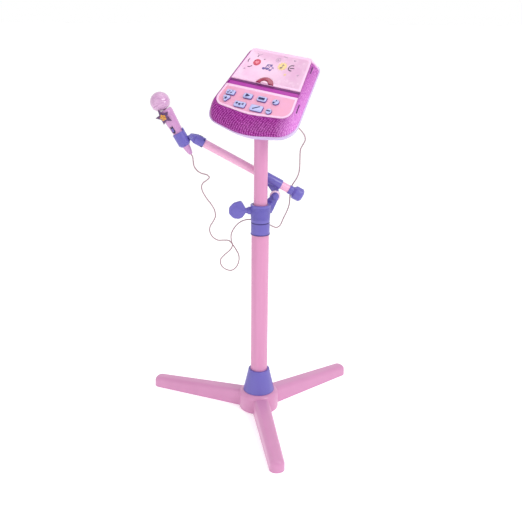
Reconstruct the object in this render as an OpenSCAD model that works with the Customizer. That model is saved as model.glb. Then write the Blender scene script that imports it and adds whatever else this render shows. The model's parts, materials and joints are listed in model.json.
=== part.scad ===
// Child's karaoke stand: a three-leg base, a telescopic pole, a music console on top
// and a boom that holds a toy microphone. Millimetres, +Z up, origin on the floor at the pole's axis.

/* [Base] */
// Reach of each leg from the pole's axis
leg_reach = 260; // [200:1:330]
// Width of a leg at the hub
leg_w = 35; // [28:1:40]
// Width of a leg at its tip
leg_tip_w = 30; // [24:1:38]
// Height of a leg at the hub
leg_h = 36; // [30:1:40]
// Height of a leg at its tip
leg_tip_h = 23; // [16:1:30]
// Radius of the hub
hub_r = 43; // [40:1:52]
// Height of the hub
hub_h = 41; // [38:1:50]
// Radius of the tapered collar where it stands on the hub
cone_r = 34; // [28:1:36]
// Height of the tapered collar
cone_h = 51; // [30:1:70]

/* [Pole] */
// Outer radius of the lower tube
lower_r = 18.3; // [17.6:0.1:19]
// Outer radius of the upper tube
upper_r = 14.1; // [12:0.1:14.4]
// Wall of both tubes
tube_wall = 1.5; // [1:0.1:2]
// Height of the top of the lower tube
lower_top = 426; // [380:1:460]
// Height of the top of the upper tube
upper_top = 641; // [641:1:641]
// Length of upper tube left inside the lower tube
tube_hold = 176; // [120:1:220]
// Height of the clamp collar
collar_h = 38; // [34:1:44]
// Length of the sleeve below the clamp collar
sleeve_h = 25; // [16:1:40]
// Turn of everything on the pole, against the front leg
mast_yaw = -8.5; // [-8.5:0.5:-8.5]

/* [Boom] */
// Radius of the boom tube
boom_r = 8.5; // [7:0.1:9]
// Slope of the boom below the horizontal
boom_slope = 28.3; // [28.3:0.1:28.3]
// Distance from the pole's axis to the boom's axis, front to back
boom_y = 31; // [31:1:36]
// Height of the boom's pivot
pivot_z = 475; // [475:1:475]
// Distance of the boom's axis from its pivot
boom_rise = 25.4; // [24:0.1:28]
// Length of the boom sleeve
boom_sleeve_l = 50; // [40:1:56]
// Radius of the pivot bolt
pivot_r = 2.5; // [2:0.1:3]

/* [Microphone] */
// Radius of the microphone's ball
ball_r = 20; // [18:0.5:21]
// Distance from the clip's centre to the ball's centre
ball_z = 84; // [82:1:92]
// Lean of the microphone from upright
mic_lean = 29.7; // [20:0.1:35]
// Turn of the badge and the switch round the microphone
mic_turn = -25; // [-40:1:0]
// Radius of the clip's barrel
clip_r = 13.2; // [12.8:0.1:13.6]
// Tip-to-centre radius of the star badge
star_r = 18; // [14:0.5:19]

/* [Console] */
// Height of the panel's centre above the floor
head_z = 703; // [703:1:703]
// Turn of the console against the mast
head_yaw = -29; // [-29:1:-29]
// Sideways lean of the console
head_lean = 7.3; // [7.3:0.1:7.3]
// Tilt of the panel towards the player
head_tilt = 44; // [44:1:44]
// Half width of the panel at its rear edge
panel_rear = 66; // [62:1:70]
// Half width of the panel at its front corners
panel_front = 86; // [82:1:92]
// Rear edge of the panel from its centre line
panel_back = 80; // [76:1:90]
// How far the rim stands out beyond the panel at the sides
rim_out = 15; // [13:1:18]
// Depth from the panel to the rim's top
rim_drop = 20; // [18:1:24]
// Thickness of the rim
rim_t = 4; // [3:0.5:6]
// Whole depth of the console
console_t = 48; // [46:1:56]
// Wall of the console's shells
shell_t = 2.4; // [1.6:0.1:3]
// How far the buttons stand out
button_up = 3; // [2:0.5:4]
// Travel of a button
button_travel = 1.5; // [1:0.1:1.6]

/* [Cord] */
// Diameter of the microphone's cord
cord_d = 2.4; // [2:0.1:3]

/* [Hidden] */
$fn = 64;
hull_fn = 32;

// Finishes
pink = [0.87, 0.6, 0.74];
purple = [0.47, 0.41, 0.78];
pale_pink = [0.95, 0.8, 0.89];
panel_pink = [0.96, 0.68, 0.82];
fuchsia = [0.62, 0.16, 0.56];
lavender = [0.74, 0.73, 0.92];
rim_lilac = [0.86, 0.72, 0.93];
steel = [0.7, 0.7, 0.72];
board_green = [0.1, 0.4, 0.25];

// Clearances
running = 0.06;
fit = 0.1;
part_gap = 0.3;
cut = 1;

// ---- base values
leg_angles = [0, 120, 240];
leg_wall = 2.4;
leg_soft = 9;
leg_root = 30;
hub_wall = 2.6;
hub_round = 12;
hub_boss_r = 21.5;
plate_z = 0;
plate_t = 3;
tongue_w = 20;
tongue_top = 24;
tongue_in = 28;
screw_r = 1.5;
screw_head_r = 3.2;
screw_head_t = 2;
hub_screw_at = 33;
cone_wall = 2.5;
cone_lip = 4.5;
cone_top_r = lower_r + 4.4;

// ---- pole values
lower_bore = lower_r - tube_wall;
collar_bottom_r = lower_r + 0.7;
collar_top_r = lower_r + 2.3;
collar_bore = 16;
spigot_l = 30;
bush_z = lower_top + 2.2;
bush_top = lower_top + collar_h - 2;
knob_z = lower_top + 24.5;
knob_r = 16.5;
knob_t = 9;
knob_x = -47;
knob_neck_r = 5.5;
knob_back = -31;
boss_r = 8;
boss_end = -25;
lock_r = 2.5;
foot_l = 10;
foot_spigot = 18;

// ---- boom values
pivot_x = 30;
ear_r = 8;
ear_front = -10.5;
ear_t = 5;
washer_t = 3;
washer_r = 11.5;
lug_r = 8.5;
lug_t = 7;
bolt_head_r = 5;
bolt_head_t = 3;
boom_sleeve_r = boom_r + 1.9;
boom_left = -196;
boom_right = 37;
cap_neck_x = 18;
cap_neck_l = 10;
cap_head_l = 22;
cap_r = 14.5;
cap_bevel = 4;
socket_right = -179;
socket_left = -199.5;
socket_wall = 2.5;
clip_x = -207.3;
cheek_r = 5.4;
cheek_root = 9;
cheek_in = 2.8;
cheek_out = 7.5;
pin_r = 2;
pin_head_r = 3.2;

// ---- microphone values
clip_reach = 19.7;
clip_drop = 5.9;
clip_low = -16;
clip_high = 14;
clip_gap = 0.5;
clip_mouth = 14;
mic_wall = 1.8;
mic_profile = [[5.6, -31], [8, -16], [10.75, 14], [12.6, 48], [13.6, 60], [13, 66.5]];
ball_wall = 2;
neck_ring_r = 11;
neck_ring_bore = 9.5;
badge_z = 56;
badge_out = 15.6;
badge_t = 2.4;
badge_tilt = 14;
badge_stem_r = 3;
jewel_r = 5.4;
jewel_h = 3.4;
switch_z = 24;
switch_w = 4.8;
switch_l = 8;
switch_travel = 4;
boot_r = 5.4;
boot_l = 5;

// ---- console values
head_x = 5.5;
head_y = -3;
panel_corner = 64;
panel_bow = 74;
panel_rear_round = 10;
panel_front_round = 20;
bow_round = 150;
rim_back_out = 4;
rim_front_out = 26;
rim_bow_out = 39;
rim_rear_round = 16;
rim_front_round = 36;
panel_t = 3;
deck_t = 4;
panel_lip = 2;
lip_drop = 1.2;
strip_front = -15;
strip_rear = 1;
strip_depth = 2;
bottom_in = 16;
bottom_step = 1.5;
post_r = 4;
post_at = [[-56, 58], [56, 58], [-70, -20], [70, -20]];
case_screw_r = 1.3;
case_head_r = 2.6;
board_t = 1.6;
board_z = -17.2;
board_post_r = 3;
board_posts = [[-38.5, -28], [28.5, -28], [-44, -64], [26, -46]];
tact = 6;
tact_t = 3.2;
flange_out = 1.5;
flange_t = 1.2;
stem_r = 2;
button_gap = 0.3;
dome_r = 20;
dome_in = 9.3;
dome_back = 4;
dome_x = -1;
cell_r = 7.1;
cell_l = 50;
cell_pitch = 14.5;
cell_v = 11.3;
box_wall = 1.5;
door_t = 2.1;
speaker_r = 20;
speaker_t = 14;
speaker_at = [-45, -45];
slider_at = [-50, 30];
slider_travel = 4;
gland_at = [60, -20];
gland_l = 14;
socket_r = 17;
socket_low = 615;
socket_cap = 4;
socket_flange_r = 27;
socket_flange_t = 2.5;
socket_flange_at = [2, -46];

// Buttons: centre, half length and half width of each; the first of each row is nearest the left side
button_at = [[-58, -35], [-19, -35], [12, -35], [42, -35], [-60.5, -51], [-26, -57.5], [11, -58],
    [38, -58.5]];

// ---- cord routes, in the mast's own turned frame
cord_low = [[-142.7, 31, 559.7], [-139.5, 31, 554], [-138.5, 31, 545], [-137, 31, 535], [-131, 31, 526],
    [-122, 31, 520], [-112, 31, 517.5], [-106, 31, 512], [-111, 31, 506], [-119, 31, 500],
    [-122.5, 31, 491], [-119, 31, 479], [-111, 30, 466], [-102, 30, 454], [-95.5, 30, 441],
    [-94.5, 30, 428], [-100, 30, 416.5], [-106, 30, 406], [-106, 30, 394], [-100, 30, 383.5],
    [-90, 30, 377], [-77, 30, 377], [-66, 30, 376], [-58, 30, 367], [-51, 30, 356],
    [-45.5, 29, 345], [-45, 28, 332], [-50, 27, 319], [-60, 26, 311], [-72, 25, 313],
    [-82, 24, 322], [-84, 24, 335], [-76, 23, 346], [-65, 23, 356], [-58.5, 23, 367],
    [-61, 23, 380], [-60.5, 24, 394], [-53, 25, 408], [-42, 26, 418.5], [-29, 26.5, 423.5],
    [-15, 27, 423.5], [0, 27, 421]];
cord_mid = [[0, 27, 421], [12, 27.5, 416.5], [24, 28.5, 410], [34, 32, 405.5], [42, 38, 409],
    [48, 44, 421], [55, 48, 435], [60, 50, 449], [61.5, 50, 464], [62, 50, 479], [66, 50, 493],
    [74, 50, 506], [79, 50, 519], [80.5, 50, 533], [80.5, 50, 547], [80.5, 50, 560]];
cord_top = [[80.5, 50, 560], [81.5, 50, 569], [86, 50, 578], [90, 48, 587], [89, 43, 596],
    [84, 35, 605], [77.5, 25.5, 613], [72, 15.5, 620.5], [68, 5.7, 628], [64.6, -2.9, 637.4]];
plane_x = [1, 0, 0];
plane_z = [0, 0, 1];
tail_dir = [0.495, 0, -0.869];
gland_dir = [-0.257, -0.652, 0.714];
cord_sides = 8;

// ---- outlines
function unit(v) = v / norm(v);
function turn(a) = a > 180 ? a - 360 : a < -180 ? a + 360 : a;
// The arc that rounds the corner at p, between the points before and after it
function corner(a, p, b, r, n = 8) =
    let (u1 = unit(a - p), u2 = unit(b - p), half = acos(u1 * u2) / 2)
    let (c = p + unit(u1 + u2) * r / sin(half), d = r / tan(half))
    let (s = p + u1 * d - c, e = p + u2 * d - c)
    let (from = atan2(s.y, s.x), sweep = turn(atan2(e.y, e.x) - from))
    [for (i = [0:n]) c + r * [cos(from + sweep * i / n), sin(from + sweep * i / n)]];
function rounded(p, r) = let (n = len(p))
    [for (i = [0:n - 1]) each corner(p[(i + n - 1) % n], p[i], p[(i + 1) % n], r[i])];
// The console's plan: a taper with a bowed front, grown by g
function plan(rear, front, back, side, bow, rear_round, front_round, g) = rounded(
    [[rear + g, back + g], [-rear - g, back + g], [-front - g, -side - g], [0, -bow - g],
        [front + g, -side - g]],
    [rear_round, rear_round, front_round, bow_round, front_round]);
function panel_plan(g) = plan(panel_rear, panel_front, panel_back, panel_corner, panel_bow,
    panel_rear_round, panel_front_round, g);
function rim_plan(g) = plan(panel_rear + rim_out, panel_front + rim_out, panel_back + rim_back_out,
    panel_corner + rim_front_out, panel_bow + rim_bow_out, rim_rear_round, rim_front_round, g);
// The microphone's wall between two offsets from its outline
function mic_wall_plan(out, in) = concat([for (p = mic_profile) [p.x + out, p.y]],
    [for (i = [len(mic_profile) - 1:-1:0]) [mic_profile[i].x - in, mic_profile[i].y]]);

// ---- the cord's tube: one ring of corners at each point of the route
function heading(p, i, first, last) = i == 0 ? unit(first) : i == len(p) - 1 ? unit(last) :
    unit(unit(p[i + 1] - p[i]) + unit(p[i] - p[i - 1]));
function ring(p, t, r) = let (s = unit(cross(t, [0, 1, 0])), u = cross(s, t))
    [for (k = [0:cord_sides - 1]) p + r * (cos(360 * k / cord_sides) * s + sin(360 * k / cord_sides) * u)];
module cord_tube(p, first, last) {
    n = len(p);
    m = cord_sides;
    points = [for (i = [0:n - 1]) each ring(p[i], heading(p, i, first, last), cord_d / 2)];
    sides = [for (i = [0:n - 2], k = [0:m - 1])
        [i * m + k, i * m + (k + 1) % m, (i + 1) * m + (k + 1) % m, (i + 1) * m + k]];
    near_end = [[for (k = [m - 1:-1:0]) k]];
    far_end = [[for (k = [0:m - 1]) (n - 1) * m + k]];
    on_mast() polyhedron(points, concat(sides, near_end, far_end));
}

// ---- places
module on_mast() rotate([0, 0, mast_yaw]) children();
module on_pivot() on_mast() translate([pivot_x, boom_y, pivot_z]) rotate([0, boom_slope, 0]) children();
module on_boom() on_pivot() translate([0, 0, boom_rise]) children();
module on_mic() on_boom() translate([clip_x, 0, 0]) rotate([0, -mic_lean - boom_slope, 0])
    translate([-clip_reach, 0, clip_drop]) children();
module on_face(z) on_mic() rotate([0, 0, mic_turn]) translate([0, 0, z]) children();
module on_head() on_mast() translate([head_x, head_y, head_z]) rotate([0, 0, head_yaw])
    rotate([0, head_lean, 0]) rotate([head_tilt, 0, 0]) children();
module along_x(from, to, r) translate([from, 0, 0]) rotate([0, 90, 0]) cylinder(r = r, h = to - from);
module along_y(from, to, r) translate([0, from, 0]) rotate([-90, 0, 0]) cylinder(r = r, h = to - from);
module ring_solid(r_out, r_in, z0, z1) {
    difference() {
        translate([0, 0, z0]) cylinder(r = r_out, h = z1 - z0);
        translate([0, 0, z0 - cut]) cylinder(r = r_in, h = z1 - z0 + 2 * cut);
    }
}
module slab(points, z0, z1) translate([0, 0, z0]) linear_extrude(z1 - z0) polygon(points);
module box(x0, x1, y0, y1, z0, z1) translate([x0, y0, z0]) cube([x1 - x0, y1 - y0, z1 - z0]);

// ---- base
module leg_form(g) {
    // the leg's outside, drawn in by g
    $fn = hull_fn;
    tip_r = leg_tip_w / 2;
    hull() {
        for (s = [-1, 1]) {
            translate([s * (leg_w / 2 - leg_soft), -leg_root, leg_h - leg_soft])
                rotate([90, 0, 0]) cylinder(r = leg_soft - g, h = 1);
        }
        box(-leg_w / 2 + g, leg_w / 2 - g, -leg_root - 1, -leg_root, -g, leg_h - leg_soft);
        for (d = [[0, leg_soft], [2.5, leg_soft * 0.4], [leg_soft * 0.8, 0]]) {
            translate([0, tip_r - leg_reach, -g]) cylinder(r = tip_r - d[0] - g, h = leg_tip_h - d[1]);
        }
    }
}
module leg(angle) {
    color(pink) rotate([0, 0, angle]) {
        difference() {
            leg_form(0);
            leg_form(leg_wall);
            translate([0, 0, -cut]) cylinder(r = hub_r + part_gap, h = leg_h + 2 * cut);
        }
        difference() {
            box(-tongue_w / 2, tongue_w / 2, -hub_r - 8, -tongue_in, plate_z + plate_t + fit, tongue_top);
            translate([0, -hub_screw_at, 0]) cylinder(r = screw_r + 0.05, h = tongue_top - 6);
        }
        // web that ties the tongue to the leg's side walls
        box(-leg_w / 2 + 1, leg_w / 2 - 1, -hub_r - 8, -hub_r - 5, leg_wall, tongue_top);
    }
}
module leg_front() leg(leg_angles[0]);
module leg_right() leg(leg_angles[1]);
module leg_left() leg(leg_angles[2]);
module base_hub() {
    color(pink) difference() {
        union() {
            difference() {
                rotate_extrude() polygon(concat([[0, 0], [hub_r, 0]],
                    [for (a = [0:10:90]) [hub_r - hub_round + hub_round * cos(a),
                        hub_h - hub_round + hub_round * sin(a)]], [[0, hub_h]]));
                translate([0, 0, -cut]) cylinder(r = hub_r - hub_wall - 6, h = hub_h - hub_wall + cut);
                translate([0, 0, -cut]) cylinder(r = hub_r - hub_wall, h = hub_h - hub_round - 1 + cut);
            }
            translate([0, 0, plate_z + plate_t]) cylinder(r = hub_boss_r, h = hub_h - plate_t - plate_z - 1);
            for (a = leg_angles) rotate([0, 0, a + 60]) translate([0, -hub_screw_at, plate_z + plate_t])
                cylinder(r = post_r, h = hub_h - plate_z - plate_t - 1);
        }
        translate([0, 0, -cut]) cylinder(r = lower_r + 0.05, h = hub_h + 2 * cut);
        for (a = leg_angles) rotate([0, 0, a]) {
            box(-tongue_w / 2 - fit, tongue_w / 2 + fit, -hub_r - 5, -tongue_in + 1, -cut, tongue_top + fit);
        }
        for (a = leg_angles) rotate([0, 0, a + 60]) translate([0, -hub_screw_at, 0])
            cylinder(r = screw_r + 0.05, h = 20);
    }
}
module hub_plate() {
    color(pink) difference() {
        translate([0, 0, plate_z]) cylinder(r = hub_r - hub_wall - part_gap, h = plate_t);
        for (a = [0:60:300]) rotate([0, 0, a]) translate([0, -hub_screw_at, 0]) {
            translate([0, 0, plate_z - cut]) cylinder(r = screw_r + 0.2, h = plate_t + 2 * cut);
            translate([0, 0, plate_z - cut]) cylinder(r = screw_head_r + 0.2, h = screw_head_t + cut);
        }
    }
}
module base_screws() {
    color(steel) for (a = [0:60:300]) rotate([0, 0, a]) translate([0, -hub_screw_at, plate_z]) {
        translate([0, 0, 0.3]) cylinder(r = screw_head_r, h = screw_head_t - 0.35);
        translate([0, 0, 1]) cylinder(r = screw_r, h = 15);
    }
}
module base_cone() {
    top = hub_h + cone_h;
    color(purple) rotate_extrude() polygon([[cone_r - cone_wall, hub_h], [cone_r, hub_h],
        [cone_top_r, top - 1], [cone_top_r - 1, top], [lower_r + 0.05, top],
        [lower_r + 0.05, top - cone_lip], [cone_top_r - cone_wall, top - cone_lip]]);
}

// ---- pole
module lower_tube() {
    color(pink) ring_solid(lower_r, lower_bore, plate_z + plate_t + fit, lower_top);
}
module tube_sleeve() {
    color(purple) ring_solid(lower_r + 1.1, lower_r + 0.05, lower_top - sleeve_h, lower_top - fit);
}
module clamp_collar() {
    top = lower_top + collar_h;
    color(purple) on_mast() difference() {
        union() {
            translate([0, 0, lower_top]) rotate_extrude() polygon([[0, 0], [collar_bottom_r, 0],
                [collar_top_r, collar_h * 0.6], [collar_top_r, collar_h], [0, collar_h]]);
            translate([0, 0, lower_top - spigot_l]) cylinder(r = lower_bore - 0.05, h = spigot_l + 1);
            // boss that takes the lock screw
            translate([0, 0, knob_z]) along_x(boss_end, -collar_bore, boss_r);
            // block and arm that carry the boom
            box(8, 24, 10, boom_y + ear_front + ear_t, top - 22, top);
            translate([0, boom_y + ear_front, 0]) rotate([90, 0, 0]) mirror([0, 0, 1])
                linear_extrude(ear_t) polygon([[8, top - 22], [24, top - 22], [pivot_x + ear_r * 0.9,
                pivot_z - ear_r * 0.4], [pivot_x, pivot_z], [pivot_x - ear_r * 0.9, pivot_z + ear_r * 0.4], [8, top]]);
            translate([pivot_x, boom_y, pivot_z]) along_y(ear_front, ear_front + ear_t, ear_r);
        }
        translate([0, 0, lower_top - spigot_l - cut]) cylinder(r = upper_r + 0.5, h = spigot_l + collar_h);
        translate([0, 0, bush_z - 0.1]) cylinder(r = collar_bore, h = collar_h + 1);
        translate([0, 0, knob_z]) along_x(boss_end - cut, -collar_bore + 3, lock_r + 0.05);
        translate([pivot_x, boom_y, pivot_z]) along_y(ear_front - cut, ear_front + ear_t + cut, pivot_r + 0.05);
    }
}
module guide_bush() {
    color([0.9, 0.88, 0.92]) on_mast() difference() {
        ring_solid(collar_bore - 0.05, upper_r + running, bush_z, bush_top);
        box(0, collar_bore + 1, -1, 1, bush_z - cut, bush_top + cut);
    }
}
module lock_knob() {
    color(purple) on_mast() translate([0, 0, knob_z]) difference() {
        union() {
            translate([0, knob_t / 2, 0]) rotate([90, 0, 0]) linear_extrude(knob_t) {
                translate([knob_x, 0]) circle(r = knob_r);
                polygon([[knob_x - 7, knob_r - 1.6], [knob_x + 6, knob_r + 3.5], [knob_x + 9, knob_r + 2],
                    [knob_back, knob_neck_r], [knob_back, -knob_neck_r], [knob_x + 9, -knob_r + 0.5],
                    [knob_x, -knob_r]]);
            }
            along_x(knob_x + 4, boss_end - part_gap, knob_neck_r);
        }
        along_x(knob_back - 8, boss_end + cut, lock_r + 0.05);
    }
}
module lock_screw() {
    color(steel) on_mast() translate([0, 0, knob_z]) along_x(knob_back - 7.9, -collar_bore, lock_r);
}

// ---- boom
module pivot_bolt() {
    color(steel) on_pivot() {
        along_y(ear_front - bolt_head_t - fit, ear_front - fit, bolt_head_r);
        along_y(ear_front - 1, boom_rear_face() + bolt_head_t, pivot_r);
        along_y(boom_rear_face() + fit, boom_rear_face() + bolt_head_t + 1, bolt_head_r);
    }
}
function boom_rear_face() = ear_front + ear_t + washer_t + 2 * fit + lug_t;
module pivot_washer() {
    color(pale_pink) on_pivot() difference() {
        along_y(ear_front + ear_t + fit, ear_front + ear_t + fit + washer_t, washer_r);
        along_y(ear_front, ear_front + ear_t + washer_t + cut, pivot_r + 0.05);
    }
}
module boom_sleeve() {
    lug_y = ear_front + ear_t + washer_t + 2 * fit;
    color(purple) on_pivot() difference() {
        union() {
            translate([0, 0, boom_rise]) along_x(-boom_sleeve_l, 0, boom_sleeve_r);
            along_y(lug_y, lug_y + lug_t, lug_r);
            translate([0, lug_y + lug_t, 0]) rotate([90, 0, 0]) linear_extrude(lug_t)
                polygon([[-lug_r, 0], [-40, boom_rise - 6], [-3, boom_rise - 6], [lug_r, 0]]);
        }
        translate([0, 0, boom_rise]) along_x(-boom_sleeve_l - cut, cut, boom_r + running);
        along_y(lug_y - cut, lug_y + lug_t + cut, pivot_r + 0.05);
    }
}
module boom_tube() {
    color(pink) on_boom() difference() {
        along_x(boom_left, boom_right, boom_r);
        along_x(boom_left - cut, boom_right + cut, boom_r - tube_wall + 0.3);
    }
}
module boom_cap() {
    head_x0 = cap_neck_x + cap_neck_l;
    color(purple) on_boom() difference() {
        union() {
            along_x(cap_neck_x, head_x0 + 1, boom_r + 0.7);
            intersection() {
                translate([head_x0, 0, 0]) rotate([0, 90, 0]) cylinder(r = cap_r, h = cap_head_l, $fn = 8);
                translate([head_x0, 0, 0]) rotate([0, 90, 0]) rotate_extrude() polygon([[0, 0],
                    [cap_r - cap_bevel, 0], [cap_r, cap_bevel], [cap_r, cap_head_l - cap_bevel],
                    [cap_r - cap_bevel, cap_head_l], [0, cap_head_l]]);
            }
        }
        along_x(cap_neck_x - cut, boom_right + fit, boom_r + 0.05);
    }
}

// ---- microphone clip
module clip_socket() {
    color(purple) on_boom() difference() {
        union() {
            along_x(socket_left, socket_right, boom_sleeve_r);
            for (s = [-1, 1]) {
                y0 = s > 0 ? cheek_in : -cheek_out;
                translate([clip_x, 0, 0]) along_y(y0, y0 + cheek_out - cheek_in, cheek_r);
                // the cheek narrows from the sleeve to its round end at the pin
                hull() {
                    translate([clip_x, 0, 0]) along_y(y0, y0 + cheek_out - cheek_in, cheek_r);
                    box(socket_left, socket_left + 1, y0, y0 + cheek_out - cheek_in, -cheek_root, cheek_root);
                }
            }
        }
        along_x(socket_left + socket_wall, socket_right + cut, boom_r + 0.05);
        translate([clip_x, 0, 0]) along_y(-cheek_out - cut, cheek_out + cut, pin_r + 0.05);
    }
}
module clip_pin() {
    color(steel) on_boom() translate([clip_x, 0, 0]) {
        along_y(-cheek_out - 1.4, -cheek_out - fit, pin_head_r);
        along_y(-cheek_out - 1, cheek_out + 1, pin_r);
    }
}
module mic_bore(g) {
    // the clip's bore follows the microphone's taper
    rotate_extrude() polygon([[0, -31 - cut], [mic_profile[0].x + g, -31 - cut], [mic_profile[0].x + g, -31],
        [mic_profile[1].x + g, -16], [mic_profile[2].x + g, 14], [mic_profile[3].x + g, 48], [0, 48]]);
}
module mic_clip() {
    lug = cheek_in - part_gap;
    color(purple) on_mic() difference() {
        union() {
            rotate_extrude() polygon([[0, clip_low], [clip_r - 4, clip_low], [clip_r, clip_low + 5],
                [clip_r, clip_high], [0, clip_high]]);
            translate([clip_reach, 0, -clip_drop]) along_y(-lug, lug, cheek_r - 0.2);
            box(clip_r - 3, clip_reach, -lug, lug, -clip_drop - cheek_r + 0.2, -clip_drop + cheek_r - 0.2);
            // the lip that the microphone is pushed past
            intersection() {
                translate([0, 0, clip_high - 1]) cylinder(r = clip_r, h = 6);
                box(6, clip_r, -5, 5, clip_high - 1, clip_high + 5);
            }
        }
        mic_bore(clip_gap);
        box(-clip_mouth / 2, clip_mouth / 2, 0, clip_r + cut, clip_low - cut, clip_high + 6);
        translate([clip_reach, 0, -clip_drop]) along_y(-lug - cut, lug + cut, pin_r + 0.05);
    }
}

// ---- microphone
module mic_shell_front() {
    color(pink) difference() {
        on_face(0) rotate([0, 0, 180]) rotate_extrude(angle = 180) polygon(mic_wall_plan(0, mic_wall));
        on_face(badge_z) along_y(-badge_out, -5, badge_stem_r + 0.1);
        on_face(switch_z) box(-switch_w / 2 - 0.2, switch_w / 2 + 0.2, -15, -5, -switch_l / 2 - 0.2,
            switch_l / 2 + switch_travel + 0.2);
    }
}
module mic_shell_back() {
    color(pink) on_face(0) rotate_extrude(angle = 180) polygon(mic_wall_plan(0, mic_wall));
}
module mic_head() {
    color(pink) on_mic() union() {
        difference() {
            translate([0, 0, ball_z]) sphere(r = ball_r);
            translate([0, 0, ball_z]) sphere(r = ball_r - ball_wall);
            translate([0, 0, ball_z - ball_r - cut]) cylinder(r = neck_ring_r - 0.5, h = ball_r);
        }
        ring_solid(neck_ring_r, neck_ring_bore, 56, ball_z - ball_r + 5);
    }
}
module mic_capsule() {
    color(steel) on_mic() translate([0, 0, 58]) cylinder(r = neck_ring_bore - 0.1, h = 9);
}
module star(r) polygon([for (i = [0:9]) (i % 2 == 0 ? r : r * 0.48) * [sin(36 * i), cos(36 * i)]]);
module mic_badge() {
    color([0.5, 0.42, 0.55]) on_face(badge_z) {
        translate([0, -badge_out, 0]) rotate([badge_tilt, 0, 0]) rotate([90, 0, 0])
            linear_extrude(badge_t) star(star_r);
        along_y(-badge_out - 1, -12, badge_stem_r);
    }
}
module mic_jewel() {
    color([0.75, 0.5, 0.15]) on_face(badge_z) translate([0, -badge_out, 0]) rotate([badge_tilt, 0, 0])
        rotate([90, 0, 0]) translate([0, 0, badge_t + 0.02]) rotate_extrude() polygon([[0, 0], [jewel_r, 0],
        [jewel_r * 0.8, jewel_h * 0.6], [jewel_r * 0.4, jewel_h], [0, jewel_h]]);
}
module mic_switch() {
    color(purple) on_face(switch_z) box(-switch_w / 2, switch_w / 2, -13.2, -8.4, -switch_l / 2,
        switch_l / 2);
}
module mic_boot() {
    color(pink) on_mic() translate([0, 0, mic_profile[0].y - boot_l]) {
        rotate_extrude() polygon([[0, 0], [boot_r - 1.6, 0], [boot_r, 1.6], [boot_r, boot_l - 0.05],
            [3.7, boot_l - 0.05], [3.7, boot_l + 5], [0, boot_l + 5]]);
    }
}
module mic_cord_low() color([0.8, 0.6, 0.68]) cord_tube(cord_low, tail_dir, plane_x);
module mic_cord_mid() color([0.8, 0.6, 0.68]) cord_tube(cord_mid, plane_x, plane_z);
module mic_cord_top() color([0.8, 0.6, 0.68]) cord_tube(cord_top, plane_z, gland_dir);

// ---- upper pole
module upper_tube() {
    color(pink) ring_solid(upper_r, upper_r - tube_wall, lower_top - tube_hold, upper_top);
}
module tube_foot() {
    z = lower_top - tube_hold;
    color([0.9, 0.88, 0.92]) difference() {
        union() {
            translate([0, 0, z - foot_l]) cylinder(r = lower_bore - running, h = foot_l - 0.05);
            translate([0, 0, z - 1]) cylinder(r = upper_r - tube_wall - 0.05, h = foot_spigot);
        }
        translate([0, 0, z - foot_l - cut]) cylinder(r = 9, h = foot_l + foot_spigot + 2 * cut);
    }
}
module pole_socket() {
    color(purple) difference() {
        union() {
            translate([0, 0, socket_low]) cylinder(r = socket_r, h = upper_top + 0.3 + socket_cap - socket_low);
            on_head() translate([socket_flange_at.x, socket_flange_at.y, -console_t - socket_flange_t])
                cylinder(r = socket_flange_r, h = socket_flange_t);
        }
        translate([0, 0, socket_low - 60]) cylinder(r = upper_r + running, h = upper_top + 0.3 - socket_low + 60);
        translate([0, 0, socket_low - 60]) cylinder(r = 40, h = 60);
    }
}

// ---- console shells, drawn flat with the panel at z = 0
module console_bottom() {
    low = -console_t;
    high = -rim_drop - rim_t;
    color(rim_lilac) on_head_cut() difference() {
        union() {
            difference() {
                hull() {
                    slab(rim_plan(-bottom_step), high - 3, high);
                    slab(rim_plan(-bottom_in), low, low + 3);
                }
                hull() {
                    slab(rim_plan(-bottom_step - shell_t), high - 3, high + 1);
                    slab(rim_plan(-bottom_in - shell_t), low + shell_t, low + shell_t + 3);
                }
            }
            for (p = post_at) translate([p.x, p.y, low]) cylinder(r = post_r + 0.5, h = high - low - fit);
            battery_box(low);
            for (p = board_bosses) translate([p.x, p.y, low + 1]) cylinder(r = 2.5, h = 7);
        }
        for (p = post_at) translate([p.x, p.y, low - cut]) {
            cylinder(r = case_screw_r + 0.2, h = 40);
            cylinder(r = case_head_r + 0.2, h = cut + 5);
        }
        box(-cell_l / 2 - 2.5, cell_l / 2 + 2.5, cell_v - cell_r - 0.7, box_top() + 0.6, low - cut,
            low + cell_r * 2 + 2.9);
        translate([gland_at.x, gland_at.y, low - cut]) cylinder(r = 3.5, h = shell_t + 2 * cut);
        translate([slider_at.x - 5.2, slider_at.y - 2.7, low - cut]) cube([10.4 + slider_travel, 5.4, 8]);
    }
}
board_bosses = [[36, 6], [62, 6], [36, 44], [62, 44]];
function box_top() = cell_v + 3 * cell_pitch + cell_r;
module battery_box(low) {
    box(-cell_l / 2 - 2.5 - box_wall, cell_l / 2 + 2.5 + box_wall, cell_v - cell_r - 0.7 - box_wall,
        box_top() + 0.6 + box_wall, low, low + cell_r * 2 + 2.9 + box_wall);
}
module on_head_cut() {
    // the shell, with the hole that the pole's socket passes through
    difference() {
        on_head() children();
        translate([0, 0, socket_low]) cylinder(r = socket_r + fit, h = upper_top + socket_cap + 1 - socket_low);
    }
}
module console_rim() {
    color(rim_lilac) on_head() difference() {
        slab(rim_plan(0), -rim_drop - rim_t, -rim_drop);
        slab(rim_plan(-5.5), -rim_drop - rim_t - cut, -rim_drop + cut);
    }
}
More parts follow.
